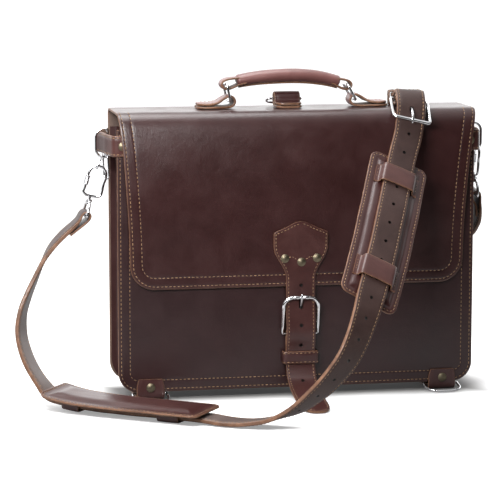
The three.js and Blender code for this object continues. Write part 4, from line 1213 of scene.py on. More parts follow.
# ======================================================================
# closure
# ======================================================================
CLOSURE_X = 2.0
CLOSURE_THICK = 3.0
CLOSURE_GAP = 0.35  # between the strap and the flap under it
HINGE_Y, HINGE_Z = -41.9, 70.0  # bar of the closure buckle

# Upper part of the strap, lying on the flap: z, half width
CLOSURE_ON_FLAP = [
    [195.2, 1.6], [194.4, 5.0], [192.4, 9.8], [189.6, 15.2], [186.9, 21.4], [184.9, 26.6],
    [183.4, 29.6], [181.6, 30.5], [178.0, 30.6], [170, 30.5], [165, 30.2], [160.0, 28.9],
    [155, 26.4], [150, 23.4], [145, 20.3], [140, 17.9], [135, 16.6], [130, 16.3],
    [125, 16.25],
]
# Lower part, down the front and out over the floor: y, z
CLOSURE_TAIL = [
    [-44.6, 118], [-44.5, 111], [-45.2, 104], [-45.9, 97], [-46.9, 88], [-47.9, 78],
    [-48.1, 70], [-47.5, 64], [-45.8, 58], [-44.7, 52], [-44.6, 44], [-44.9, 35],
    [-47.5, 28], [-53, 21.5], [-62, 16], [-76, 11], [-92, 7.6], [-108, 5.2],
]
# Pointed end: y, z, half width, thickness
CLOSURE_TIP = [
    [-118, 4.2, 16.0, 3.0], [-127, 3.4, 15.2, 3.0], [-134, 2.9, 13.4, 3.0],
    [-139.5, 2.55, 10.4, 3.0], [-142.6, 2.35, 7.2, 3.0], [-144.2, 2.25, 3.4, 2.8],
]
# Name, x, z
CLOSURE_RIVETS = (("left", -16, 154.6), ("middle", 2.5, 150.3), ("right", 20, 154.4))
# Short stitch rows between the rivets: x, z
CLOSURE_TIES = (
    [(-12.2, 155.4), (-8.2, 156.4), (-5.0, 154.6), (-2.4, 153.0)],
    [(7.4, 153.0), (9.8, 154.6), (12.6, 156.2), (15.6, 155.6)],
)
# Closure rivet: radius, height; the head's heights are from the face of the strap
CLOSURE_RIVET_FOOT = [(0, -0.7), (2.3, -0.7), (2.6, -0.5), (2.6, 0), (1.5, 0)]
CLOSURE_RIVET_HEAD = [
    (1.5, 0.2), (4.5, 0.2), (4.8, 0.35), (4.82, 0.6), (4.6, 0.85), (4.1, 0.95),
    (3.7, 1.05), (3.2, 1.45), (2.2, 1.85), (1.0, 2.1), (0, 2.15),
]


def flap_y(z):
    """Middle of the flap hide at the heights the closure lies on."""
    lower = HIDE_KEYS[-4:][::-1]
    return float(np.interp(z, lower[:, 1], lower[:, 0]))


def on_flap(z):
    """Middle of the closure strap where it lies on the flap."""
    return flap_y(z) - SHELL_HALF_THICK - CLOSURE_GAP - CLOSURE_THICK / 2


def closure_strap():
    rows = [(on_flap(z), z, half, CLOSURE_THICK) for z, half in CLOSURE_ON_FLAP]
    rows += [(y, z, 16.25, CLOSURE_THICK) for y, z in CLOSURE_TAIL]
    keys = [[CLOSURE_X, y, z, *X, half, thick] for y, z, half, thick in rows + CLOSURE_TIP]
    materials = leathers("closure")
    build = Build()
    path = Path(keys, 1.6)
    strap(build, path, inset=2.2, groove=0.0, crown=0.12, cols=10, ref=30.6, rows=False)
    obj = build.object("closure_strap_leather", materials)
    # front y and z, back y and z, radius
    centre_holes = (
        (-60, 80, -46.6, 80, 2.1), (-60, 57.5, -36, 57.5, 2.1), (-64, 34, -52, 4, 2.1),
        (-60, 124.4, -43.6, 124.4, 2.0),
    )
    rods = [
        ((CLOSURE_X, y0, z0), (CLOSURE_X, y1, z1), radius)
        for y0, z0, y1, z1, radius in centre_holes
    ]
    rods += [((x, -56, z), (x, -36, z), 1.7) for _, x, z in CLOSURE_RIVETS]
    cut_round(obj, rods, sides=20)
    cut_prism(obj, stadium(2.3, 98.0, 110.0), (CLOSURE_X, -38, 0), X, Z, depth=22)

    build = Build()
    for points, normals in outline_rows(keys, 2.5):
        bed = points + normals * CLOSURE_THICK / 2
        stitches(build, bed, normals, pitch=3.9, length=2.5, radius=0.36, margin=0.6)
    for tie in CLOSURE_TIES:
        points = np.array([[x, on_flap(z) - 1.52, z] for x, z in tie])
        normals = np.tile(-Y, (len(points), 1))
        stitches(build, points, normals, pitch=2.9, length=2.2, radius=0.34, margin=0.1)
    join_thread(obj, build, "closure_thread", materials)
    settle(obj, "closure_strap", "flap_body")


def closure_rivets():
    for name, x, z in CLOSURE_RIVETS:
        foot_y = flap_y(z) + SHELL_HALF_THICK + 0.3
        rivet(
            f"closure_rivet_{name}", "flap_body", CLOSURE_RIVET_FOOT, CLOSURE_RIVET_HEAD,
            reach=foot_y - (on_flap(z) - CLOSURE_THICK / 2), origin=(x, foot_y, z), axis=-Y,
        )


def buckle_chape():
    """Band folded round the bar of the closure buckle, slotted for the prong."""
    line = [  # y, z
        [-39.3, 34.6], [-39.3, 46], [-39.3, 60], *arc(HINGE_Y, HINGE_Z, 2.75, 0, 180, 8),
        [-44.3, 66], [-43, 61.5], [-41.7, 57], [-41.4, 50], [-41.4, 34.6],
    ]
    path = Path(strip_keys([(CLOSURE_X, y, z) for y, z in line], X, 15.8, 1.75), 1.2)
    build = Build()
    strap(build, path, inset=2.0, groove=0.12, crown=0.0, cols=10, span=(12, 16))
    obj = build.object("buckle_chape_leather", leathers())
    slot = [[-3.4, 59.0], [3.4, 59.0], [3.4, 80.0], [-3.4, 80.0]]
    cut_prism(obj, slot, (CLOSURE_X, -40.3, 0), X, Z, depth=14)
    settle(obj, "buckle_chape", "bag_body")


def closure_keeper():
    half = 19.2
    loop = mirrored([  # x, y
        [-half, -39.4], [-half, -42], [-half, -45.4], [-half + 0.7, -46.9],
        [-half + 2.2, -47.5], [-8, -47.8], [0, -47.9],
    ])
    points = [(CLOSURE_X + x, y, 43.7) for x, y in loop]
    build = Build()
    path = Path(strip_keys(points, Z, 6.9, 1.8), 1.0)
    strap(build, path, inset=1.9, crown=0.2, cols=4)
    leather_piece(build, "closure_keeper")


def closure_buckle():
    hinge = (CLOSURE_X, HINGE_Y, HINGE_Z)
    up = np.array([0, -48.8 - HINGE_Y, 111 - HINGE_Z])
    length = float(np.linalg.norm(up))
    up = unit(up)
    half, bend = 19.6, 11
    outline = [
        [-half, 1.0], [-19.2, 0.2], [-18.2, 0], [-8, 0], [8, 0], [18.2, 0], [19.2, 0.2],
        [half, 1.0], [half, 8], [half, 18], [half, length - 12],
        *arc(half - bend, length - bend, bend, 4, 90, 12), [0, length],
        *arc(-half + bend, length - bend, bend, 90, 176, 12),
        [-half, length - 12], [-half, 18], [-half, 8],
    ]
    # the hinge bar is thinner than the rest
    radii = [1.35 if q[1] < 0.5 else 1.95 for q in outline]
    build = Build()
    points = in_plane(outline, hinge, X, up)
    tube(build, points, radii, True, 16, flat=0.92, up=np.cross(X, up))
    # two rollers on the far bar
    for start, end in ((2.6, 8.2), (-8.2, -2.6)):
        ends = in_plane([[start, length], [end, length]], hinge, X, up)
        tube(build, ends, 2.15, False, 16)
    metal_piece(build, "closure_buckle_frame", "closure_buckle")

    shaft = [  # y, z, radius
        [-43.9, 71.8, 1.25], [-43.5, 80, 1.25], [-43.2, 90, 1.3], [-43.3, 97.5, 1.35],
        [-46.4, 102.6, 1.4], [-50.6, 108.2, 1.35], [-52.6, 112.2, 1.15],
        [-52.5, 114.8, 0.7],
    ]
    eye = arc(HINGE_Y, HINGE_Z, 2.45, 0, 345, 23)
    build = Build()
    points = [(CLOSURE_X, y, z) for y, z, _ in shaft]
    tube(build, points, [q[2] for q in shaft], False, 14, step=1.2)
    tube(build, [(CLOSURE_X, y, z) for y, z in eye], 0.8, True, 10)
    metal_piece(build, "closure_buckle_prong", "closure_prong")


# ======================================================================
# shoulder strap
# ======================================================================
STRAP_THICK, STRAP_HALF, STRAP_INSET = 4.6, 16, 2.9
# From the top right of the bag, over the floor, to the left hook:
# x y z, width direction x y z
LONG_STRAP = [
    [133.8, 24, 328.0, 0.99, -0.14, 0], [132.2, 12, 328.4, 0.99, -0.14, 0],
    [130.3, -6, 329.8, 0.99, -0.14, -0.02], [128.6, -20, 333.7, 0.99, -0.135, -0.06],
    [127.2, -31, 334.6, 0.99, -0.13, -0.09], [125.6, -41.5, 330.8, 0.985, -0.11, -0.11],
    [124.2, -49.5, 322.8, 0.985, -0.08, -0.13], [123.0, -54.0, 314.3, 0.98, -0.048, -0.192],
    [117.9, -62.6, 290.3, 0.957, -0.037, -0.288],
    [109.2, -76.2, 271.3, 0.919, -0.045, -0.391],
    [101.0, -92.3, 254.0, 0.916, -0.046, -0.399],
    [93.0, -109.5, 237.6, 0.916, -0.046, -0.398],
    [85.1, -127.0, 221.4, 0.918, -0.046, -0.394],
    [76.8, -143.6, 204.0, 0.914, -0.026, -0.405],
    [68.8, -160.1, 186.8, 0.91, -0.026, -0.414], [60.0, -176.1, 169.3, 0.9, -0.02, -0.43],
    [51.2, -192.2, 152.0, 0.89, 0.0, -0.45], [41.9, -208.0, 134.9, 0.87, 0.05, -0.48],
    [32.5, -221.8, 116.2, 0.80, 0.24, -0.55], [22.4, -232.6, 96.4, 0.738, 0.37, -0.56],
    [10.8, -237.9, 76.4, 0.718, 0.491, -0.493], [-3.5, -234.4, 56.9, 0.725, 0.567, -0.391],
    [-18.7, -226.0, 39.1, 0.693, 0.645, -0.322], [-36.1, -216.5, 22.8, 0.592, 0.75, -0.25],
    [-59.4, -204.8, 10.6, 0.479, 0.877, -0.1], [-82.5, -192.0, 4.8, 0.526, 0.846, -0.05],
    [-104.0, -178.0, 3.6, 0.558, 0.83, 0], [-124.0, -164.2, 5.2, 0.576, 0.817, 0],
    [-143.0, -150.8, 5.4, 0.577, 0.817, 0], [-165.0, -135.4, 5.5, 0.577, 0.817, 0],
    [-205.0, -107.4, 5.6, 0.573, 0.819, 0], [-240.0, -82.9, 7.0, 0.59, 0.807, 0],
    [-258.0, -70.3, 9.4, 0.585, 0.812, 0], [-274.5, -59.0, 14.2, 0.565, 0.825, 0],
    [-286.5, -51.2, 28.0, 0.448, 0.892, -0.056],
    [-297.1, -43.6, 46.5, 0.456, 0.879, -0.141],
    [-303.4, -36.1, 65.0, 0.434, 0.866, -0.22], [-305.1, -29.5, 82.0, 0.373, 0.87, -0.28],
    [-302.3, -23.2, 101.0, 0.254, 0.888, -0.33], [-296.0, -18.0, 117.0, 0.182, 0.919, -0.33],
    [-288.5, -13.5, 132.9, 0.13, 0.945, -0.286], [-277.9, -8.6, 154.0, 0.05, 0.972, -0.2],
    [-267.6, -5.2, 169.3, -0.05, 0.989, -0.111],
    [-255.8, -3.4, 181.6, -0.04, 0.995, -0.027], [-244.3, -3.0, 191.6, 0, 1, 0],
]
LONG_HALVES = [13, *[STRAP_HALF] * (len(LONG_STRAP) - 3), 15.6, 15]
# The end folded round the left hook: x, z, thickness
LONG_FOLD = [
    [-238.6, 198.2, 3.2], [-235.2, 204.7, 2.3], [-232.0, 206.9, 2.3], [-228.2, 205.9, 2.3],
    [-226.6, 202.4, 2.3], [-227.9, 199.2, 2.3], [-232.5, 194.6, 2.3], [-238.2, 190.2, 2.3],
    [-244.4, 185.6, 2.3], [-249.0, 182.0, 2.3],
]
FOLD_HALF = 14.5
LONG_PATH = Path(
    [[*key, half, STRAP_THICK] for key, half in zip(LONG_STRAP, LONG_HALVES)]
    + [[x, -3, z, *Y, FOLD_HALF, thick] for x, z, thick in LONG_FOLD],
    2.2,
)

# From the top of the bag over its back to the right hook:
# x y z, width direction x y z, half width, thickness
SHORT_STRAP = [
    [131.9, 12, 324.5, 0.99, -0.14, 0, 15.5, 2.4], [129.9, -8, 325.2, 0.99, -0.14, 0, 15.5, 2.4],
    [128.4, -20, 328.6, 0.99, -0.13, -0.05, 15.5, 2.4],
    [127.8, -26, 329.9, 0.99, -0.13, -0.08, 15.5, 2.4],
    [127.2, -30.8, 328.6, 0.99, -0.13, -0.08, 15.5, 2.4],
    [127.0, -32.4, 325.2, 0.99, -0.13, -0.08, 15.5, 2.4],
    [127.3, -29.9, 321.8, 0.99, -0.13, -0.06, 15.5, 2.4],
    [128.2, -22, 320.7, 0.99, -0.13, -0.03, 15.5, 2.4],
    [129.7, -8, 321.0, 0.99, -0.14, 0, 15.8, 3.0], [131.4, 8, 321.0, 0.99, -0.14, 0, 16, 3.2],
    [133.4, 22, 321.4, 0.99, -0.14, 0, 16, 3.0], [134.8, 33, 320.8, 0.99, -0.1, 0, 16, 4.0],
    [135.8, 40, 318.6, 0.995, -0.06, 0, 16, 4.6], [136.4, 44.8, 312.5, 1, 0, 0, 16, 4.6],
    [136.8, 46.3, 300, 1, 0, 0, 16, 4.6], [138, 47.4, 275, 1, 0, 0, 16, 4.6],
    [142.5, 49.5, 245, 1, 0, 0, 16, 4.6], [151, 53.5, 216, 0.96, 0.28, 0, 16, 4.6],
    [162, 57.5, 193, 0.8, 0.6, 0, 16, 4.6], [176, 60, 177, 0.45, 0.89, 0, 16, 4.6],
    [191, 60, 170, 0.1, 0.99, 0, 16, 4.6], [204, 56.4, 169.4, -0.1, 0.99, 0, 16, 4.6],
    [212.8, 46.5, 172.5, -0.1, 0.95, 0.2, 16, 4.6],
    [217.0, 33.0, 178.5, -0.05, 0.92, 0.35, 16, 4.6],
    [218.2, 20.0, 187.5, 0, 0.96, 0.25, 15.4, 4.6],
]
# The end folded round the right hook: x from its bar, distance below it, thickness
SHORT_FOLD = [
    (5.6, 19, 3.6), (5.0, 9, 2.6), (4.7, 1.5, 2.3), (3.4, -3.2, 2.3), (0, -4.8, 2.3),
    (-3.4, -3.2, 2.3), (-4.7, 0.5, 2.3), (-3.7, 5, 2.3), (-0.4, 11, 2.3), (0.9, 18, 2.3),
    (1.0, 24, 2.3),
]
# Right hook: place, long axis, and the direction of its eye's bar
RIGHT_HOOK = np.array([212.7, 4.0, 238.4])
RIGHT_AXIS = unit([-0.03, 0.12, -0.992])
RIGHT_ACROSS = unit([0, 0.9928, 0.12])


def thread_both_faces(obj, path, keep, name, waves=0.0):
    """Stitch rows along both edges and both faces of a shoulder strap."""
    build = Build()
    lift = path.normal * np.broadcast_to(waves, len(path.points))[:, None]
    for edge in (-1, 1):
        for side in (1, -1):
            aside = path.width * (edge * (path.half - STRAP_INSET))[:, None]
            rise = path.normal * (side * (path.thick / 2 - 0.1))[:, None]
            line = path.points + aside + rise + lift
            stitches(build, line[keep], (path.normal * side)[keep], pitch=4.4)
    join_thread(obj, build, name, STRAP_LEATHERS)


def strap_long():
    path = LONG_PATH
    waves = np.array([0.35 * noise3(*(point / 26), 8) for point in path.points])
    build = Build()
    strap(
        build, path, inset=STRAP_INSET, groove=0.2, crown=0.18, double=True, cols=8,
        ref=16.0, rows=False, waves=waves,
    )
    obj = build.object("strap_long_leather", STRAP_LEATHERS)
    rods = []
    for key in range(8, 25):
        point, _, normal = path.at(float(key))
        rods.append((point - normal * 5, point + normal * 5, 1.9))
    cut_round(obj, rods, sides=18)
    cut_prism(obj, stadium(2.3, 312.4, 320.4), (123.4, -44.0, 0), X, Z, depth=18)
    thread_both_faces(obj, path, path.place <= 44.2, "strap_thread", waves)
    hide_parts("strap_long")
    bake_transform(obj)


def strap_short():
    bar = RIGHT_HOOK + RIGHT_AXIS * 22.7
    down = unit([0, 0.12, -0.9928])
    fold = [
        [*(bar + X * a + down * c), *RIGHT_ACROSS, FOLD_HALF, thick]
        for a, c, thick in SHORT_FOLD
    ]
    path = Path(SHORT_STRAP + fold, 2.0)
    build = Build()
    strap(
        build, path, inset=STRAP_INSET, groove=0.2, crown=0.12, double=True, cols=8,
        ref=16.0, rows=False,
    )
    obj = build.object("strap_short_leather", STRAP_LEATHERS)
    # slot for the prong in the fold
    cut_prism(obj, stadium(3.5, -40.0, -18.5), (127.4, 0, 316.6), X, Y, depth=17)
    keep = (path.place >= 9) & (path.place <= len(SHORT_STRAP) + 0.5)
    thread_both_faces(obj, path, keep, "strap_short_thread")
    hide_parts("strap_short")
    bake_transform(obj)


def strap_keeper():
    """Closed loop round both straps, behind the buckle."""
    across, along = unit([0.99, -0.14, 0]), unit([0.14, 0.99, 0])
    outline = mirrored([  # across, z: the lower side, then the upper
        [-18.4, 320.2], [-18.1, 318.9], [-17.0, 318.4], [-9, 318.3], [0, 318.3],
    ]) + mirrored([
        [18.4, 325], [18.4, 330.6], [18.0, 332.1], [16.7, 332.7], [9, 332.9], [0, 333.0],
    ])
    ring = np.array(in_plane(outline, [131.6, 7.6, 0], across, Z))
    # start in the middle of the lower side and close the loop there
    ring = np.roll(ring, -4, axis=0)
    ring = spline(np.vstack([ring, ring[:1]]), 1.2)[0][:-1]
    path = Path(strip_keys(ring, -along, 7.4, 1.7), closed=True)
    build = Build()
    strap(build, path, inset=1.9, crown=0.15, cols=4, closed=True)
    leather_piece(build, "strap_keeper", "flap_body", STRAP_LEATHERS)


def strap_buckle():
    hinge = np.array([127.5, -26.6, 325.6])
    across = unit([0.987, -0.125, -0.095])
    along = np.array([122.0, -62.3, 311.0]) - hinge
    along = along - across * np.dot(along, across)
    length = float(np.linalg.norm(along))
    along = unit(along)
    upward = unit(np.cross(along, across))
    # the frame twists and drops a little towards its far bar
    far_across, far_end = unit([0.972, -0.13, -0.225]), np.array([122.0, -63.8, 306.8])
    half, bend = 20.1, 3.4
    outline = [
        [-half, 1.2], [-19.7, 0.3], [-18.6, 0], [-8, 0], [8, 0], [18.6, 0], [19.7, 0.3],
        [half, 1.2], [half, 12], [half, 24],
        *arc(half - bend, length - bend, bend, 0, 90, 8), [8, length], [-8, length],
        *arc(-half + bend, length - bend, bend, 90, 180, 8), [-half, 24], [-half, 12],
    ]
    radii = [1.35 if q[1] < 0.6 else 2.0 for q in outline]
    points = []
    for a, c in outline:
        f = c / length
        width = unit(across * (1 - f) + far_across * f)
        points.append(hinge * (1 - f) + far_end * f + width * a)
    build = Build()
    tube(build, points, radii, True, 16, flat=0.9, up=-upward)
    metal_piece(build, "strap_buckle_frame", "strap_buckle")

    build = Build()
    eye = circle(hinge, along * 2.45, upward * 2.45, np.arange(20) * math.pi / 10)
    tube(build, eye, 0.8, True, 10)
    shaft = [
        hinge + along * 2.6 + upward * 0.3, (126, -38, 322.8), (124.9, -46, 320.2),
        (123.6, -55.5, 318.0), (122.6, -62.4, 314.6), (121.9, -66.4, 310.8),
        (121.5, -67.9, 306.4), (121.3, -67.6, 303.6),
    ]
    radii = [1.25, 1.3, 1.3, 1.35, 1.4, 1.35, 1.1, 0.7]
    tube(build, shaft, radii, False, 14, step=1.5)
    metal_piece(build, "strap_buckle_prong", "strap_prong")


# ======================================================================
# pads on the shoulder strap; places are counted in keys of the long strap
# ======================================================================
PAD_HALF, PAD_OFFSET, PAD_HALF_THICK, PAD_INSET = 33.5, 6.8, 1.45, 3.0
PAD_RINGS = (0.5, 1.1, 1.9, 2.5, 3.0, 3.5, 4.6, 5.8, 7.0, 8.0, 9.0, 10.0, 11.0, 12.5, 14.0)
# Section of a loop over the strap: across, out from the strap
PAD_LOOP = mirrored([
    [-25.2, -3.9], [-23.0, -3.85], [-20.9, -3.5], [-19.4, -1.9], [-18.8, 0.6],
    [-18.2, 2.9], [-16.6, 4.1], [-9, 4.6], [0, 4.75],
])


def pad(node, start, end, face, seed):
    frames = [LONG_PATH.at(place) for place in np.linspace(start, end, 120)]
    points = np.array([point - normal * PAD_OFFSET for point, _, normal in frames])
    widths, normals = (np.array([frame[i] for frame in frames]) for i in (1, 2))
    at, run = curved_at(points, widths, normals)
    length = float(run[-1])
    sheet = Sheet(at, lambda s: PAD_HALF, length, 9.0, start_radius=9.0, zone=16.0)

    def surface(x, s, edge, puff, soft):
        base = PAD_HALF_THICK - groove(edge, PAD_INSET, 0.28, 0.5) - soften(edge, 0.4)
        return base + puff + soft * smooth((edge - 6) / 6)

    def front(x, s, edge):
        edge = min(edge, PAD_HALF - abs(x))
        puff = 1.9 * smooth((edge - 8.4) / 5.0) - groove(edge, 8.0, 0.35, 0.7)
        return surface(x, s, edge, puff, 0.28 * noise3(x / 16, s / 16, 0.2, seed))

    def back(x, s, edge):
        edge = min(edge, PAD_HALF - abs(x))
        puff = 3.7 * smooth((edge - 7.0) / 12.0)
        return surface(x, s, edge, puff, 0.35 * noise3(x / 18, s / 18, 1.2, seed))

    build = Build()
    sheet.fill(build, front, back, PAD_RINGS, step_x=3.2, step_s=4.0, back_slot=FACE)
    for to_end in (True, False):
        line = sheet.line(PAD_INSET, length / 2, to_end, step=1.5)
        for side in (1, -1):
            sheet.stitch(build, line, 1.3, side, pitch=4.2, length=2.7)
    return pad_part(build, node, leathers(face))


def pad_loop(node, start, end):
    """A strip over the strap, its two feet sewn to the pad."""
    first, last = LONG_PATH.at(start)[0], LONG_PATH.at(end)[0]
    centre, across, out = LONG_PATH.at((start + end) / 2)
    half = float(np.linalg.norm(last - first)) / 2
    along = unit(last - first)
    points = in_plane(PAD_LOOP, centre, across, out)
    build = Build()
    path = Path(strip_keys(points, -along, half - 0.3, 1.5), 1.0)
    strap(build, path, inset=2.0, groove=0.12, crown=0.25, cols=8, rows=False)
    for side in (-1, 1):
        foot = centre + across * (side * 23.0) + out * (-3.85 + 0.7)
        line = [foot + along * (share * half) for share in (-0.55, -0.18, 0.18, 0.55)]
        stitches(build, line, np.tile(out, (4, 1)), pitch=3.4, length=2.3, margin=0.2)
    return pad_part(build, node, leathers("reddish"))


def pad_part(build, node, materials):
    obj = build.object(f"{node}_leather", materials)
    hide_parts(node)
    return obj


def pads():
    for obj in (
        pad("shoulder_pad", 9.25, 17.1, "chestnut", seed=11),
        pad_loop("shoulder_pad_loop_upper", 9.95, 10.95),
        pad_loop("shoulder_pad_loop_lower", 15.05, 16.1),
    ):
        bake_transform(obj)
    for obj in (
        pad("floor_pad", 26.9, 33.3, "closure", seed=12),
        pad_loop("floor_pad_loop_right", 28.05, 29.0),
        pad_loop("floor_pad_loop_left", 31.0, 31.95),
    ):
        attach(obj, "bag_body")


# ======================================================================
# hooks and links
# ======================================================================
# Hook wire: sideways, along the axis
HOOK_OUTLINE = [
    [7.95, -14.2], [8.0, -8.3], [8.3, -2.8], [5.6, -0.2], [0, 0], [-7, -0.2],
    [-10.8, -2.4], [-11.6, -7.6], [-11.2, -15.5], [-12, -23], [-10.2, -29.5], [-5.6, -33],
    [0, -33.5], [5.1, -30.6], [7.6, -25], [7.9, -17.2],
]
# Hook stem and collar: radius, height along the axis
HOOK_STEM = [
    (0, -1.4), (1.5, -1.2), (1.6, -0.6), (1.6, 8.1), (2.4, 8.1), (2.9, 8.4), (2.9, 9.3),
    (2.3, 9.8), (0, 9.9),
]
HOOK_COLLAR = [(0, 3.7), (2.8, 3.7), (3.4, 4.2), (3.6, 5.6), (3.4, 7.1), (2.8, 7.6), (0, 7.6)]
# Eye wire: along its bar, along the axis
HOOK_EYE = [
    [-17.6, 15.6], [-17.2, 16.5], [-16.2, 16.9], [-8, 16.9], [8, 16.9], [16.2, 16.9],
    [17.2, 16.5], [17.6, 15.6], [17.4, 11], [15.3, 6], [11, 2.4], [5, 0.4], [0, 0],
    [-5, 0.4], [-11, 2.4], [-15.3, 6], [-17.4, 11],
]


def hook(side, origin, axis, sideways, bar):
    """Swivel hook: axis points from the hook to its eye, bar along the eye's bar."""
    origin = np.asarray(origin, float)
    build = Build()
    tube(build, in_plane(HOOK_OUTLINE, origin, sideways, axis), 1.5, False, 14, step=1.2)
    lathe(build, HOOK_STEM, 20, origin, axis)
    metal_piece(build, f"{side}_hook_frame", f"{side}_hook_body", sharp=40)

    # ribbed sleeve over the gap in the hook
    build = Build()
    start, end = in_plane([(8.0, -10.8), (7.8, -21.4)], origin, sideways, axis)
    length = float(np.linalg.norm(end - start))
    profile = [(0, 0), (1.9, 0), (2.6, 0.25), (2.8, 0.6)]
    for i in range(6):
        h = 1.4 + i * (length - 2.8) / 6
        profile += [(2.8, h), (2.62, h + 0.35), (2.62, h + 0.75), (2.8, h + 1.1)]
    profile += [(2.8, length - 0.6), (2.6, length - 0.25), (1.9, length), (0, length)]
    lathe(build, profile, 24, start, end - start)
    metal_piece(build, f"{side}_hook_sleeve", f"{side}_sleeve", sharp=40)

    build = Build()
    points = in_plane(HOOK_EYE, origin + axis * 5.8, bar, axis)
    tube(build, points, 1.55, True, 14, step=1.2)
    lathe(build, HOOK_COLLAR, 24, origin, axis)
    metal_piece(build, f"{side}_hook_eye", f"{side}_eye", sharp=40)


def link(node, body, start, end, across, half, start_wire, end_wire, radius):
    """Long link between two wires, whose centres and radii are given."""
    start, end = np.array(start, float), np.array(end, float)
    along = unit(end - start)
    length = float(np.linalg.norm(end - start)) + start_wire + end_wire + 0.7 + 2 * radius
    origin = start - along * (start_wire + 0.35 + radius)
    build = Build()
    points = in_plane(stadium(half, 0, length, 14), origin, across, along)
    tube(build, points, radius, True, 12)
    metal_piece(build, node, body)


def hooks_and_links():
    hook(
        "left", (-225.4, -3, 223.9), axis=unit([-0.26, 0, -0.9656]),
        sideways=unit([-0.9656, 0, 0.26]), bar=Y,
    )
    hook("right", RIGHT_HOOK, RIGHT_AXIS, sideways=RIGHT_ACROSS, bar=RIGHT_ACROSS)
    link(
        "left_link", "left_link_body", (-212.4, -0.3, 266.1), (-216.6, -3, 256.2),
        across=unit([0, 1, -0.25]), half=4.2, start_wire=1.4, end_wire=1.5, radius=1.0,
    )
    link(
        "left_drop_link", "left_drop_link_body", (-207.6, 0, 265.6), (-206.6, 0, 243.0),
        across=unit([0.5, -0.86, 0]), half=4.4, start_wire=1.4, end_wire=0.4, radius=0.9,
    )


# ======================================================================
# handle
# ======================================================================
# Tab folded round a handle ring: distance from the middle, z, half width
HANDLE_TAB = [
    [107, 318.9, 10], [104.5, 318.9, 13.4], [98, 318.9, 15.8], [88, 318.9, 15.4],
    [74, 318.9, 11.5], [68, 320.1, 10.4], [64.9, 324.3, 10.2], [66.6, 329.0, 10.2],
    [71.5, 330.8, 10.4], [77.5, 328.2, 11], [84, 324.0, 12.6], [91, 322.4, 14.2],
    [101, 322.2, 14.4], [103.5, 322.2, 12.4], [106.0, 322.0, 9.0],
]
# Grip: x, z, half height, half depth
GRIP = [
    [-62.0, 346.9, 3.0, 6.4], [-61.2, 347.1, 5.2, 8.6], [-59.6, 347.5, 6.5, 9.5],
    [-57, 348.0, 6.5, 9.6], [-54, 348.6, 6.6, 9.7], [-40, 350.6, 6.9, 9.9],
    [-22, 352.0, 7.2, 10.2], [0, 352.6, 7.3, 10.3], [20, 351.6, 7.2, 10.2],
    [36, 349.2, 6.9, 9.9], [46, 346.8, 6.6, 9.7], [49.2, 345.9, 6.5, 9.5],
    [51.6, 345.1, 6.5, 9.4], [53.2, 344.6, 5.2, 8.5], [53.8, 344.4, 3.0, 6.2],
]
GRIP_SIDES = 32
# Loops from the grip round the left and right rings: x, z
GRIP_LOOP_LEFT = [
    [-48, 350.0], [-56, 350.6], [-62, 350.4], [-68, 350.0], [-73.5, 349.0],
    [-77.8, 346.9], [-79.4, 343.2], [-76.8, 339.6], [-71.5, 338.8], [-66, 340.6],
    [-60, 343.2], [-52, 345.2],
]
GRIP_LOOP_RIGHT = [
    [44, 348.6], [50, 348.4], [55, 347.8], [60, 346.9], [64.0, 345.6], [66.4, 343.2],
    [66.6, 340.2], [64.0, 337.4], [58.6, 336.9], [54, 338.8], [49, 341.4], [44, 343.8],
]


def handle_tab(side, sign):
    points = [(sign * x, 0, z) for x, z, _ in HANDLE_TAB]
    keys = strip_keys(points, Y * sign, [q[2] for q in HANDLE_TAB], 2.5)
    build = Build()
    path = Path(keys, 1.3)
    strap(build, path, inset=2.3, groove=0.18, crown=0.2, cols=7, ref=15.8, rows=False)
    for points, normals in outline_rows(keys, 2.3):
        top = (np.abs(points[:, 0]) > 79) & (points[:, 2] > 321)
        bed = points[top] + normals[top] * 1.25
        stitches(build, bed, normals[top], pitch=3.8, length=2.5, radius=0.36, margin=0.4)
    leather_piece(build, f"handle_tab_{side}", "flap_body", leathers("handle"))


def handle_ring(side, bottom, top):
    axis = np.array(top) - np.array(bottom)
    length = float(np.linalg.norm(axis))
    outline = []
    for x, z, start in (
        (-9.6, 3, 180), (9.6, 3, 270), (9.6, length - 3, 0), (-9.6, length - 3, 90),
    ):
        outline += arc(x, z, 3, start, start + 90, 6)
    build = Build()
    tube(build, in_plane(outline, bottom, Y, unit(axis)), 1.4, True, 14)
    metal_piece(build, f"handle_ring_{side}", f"handle_ring_{side}_body")


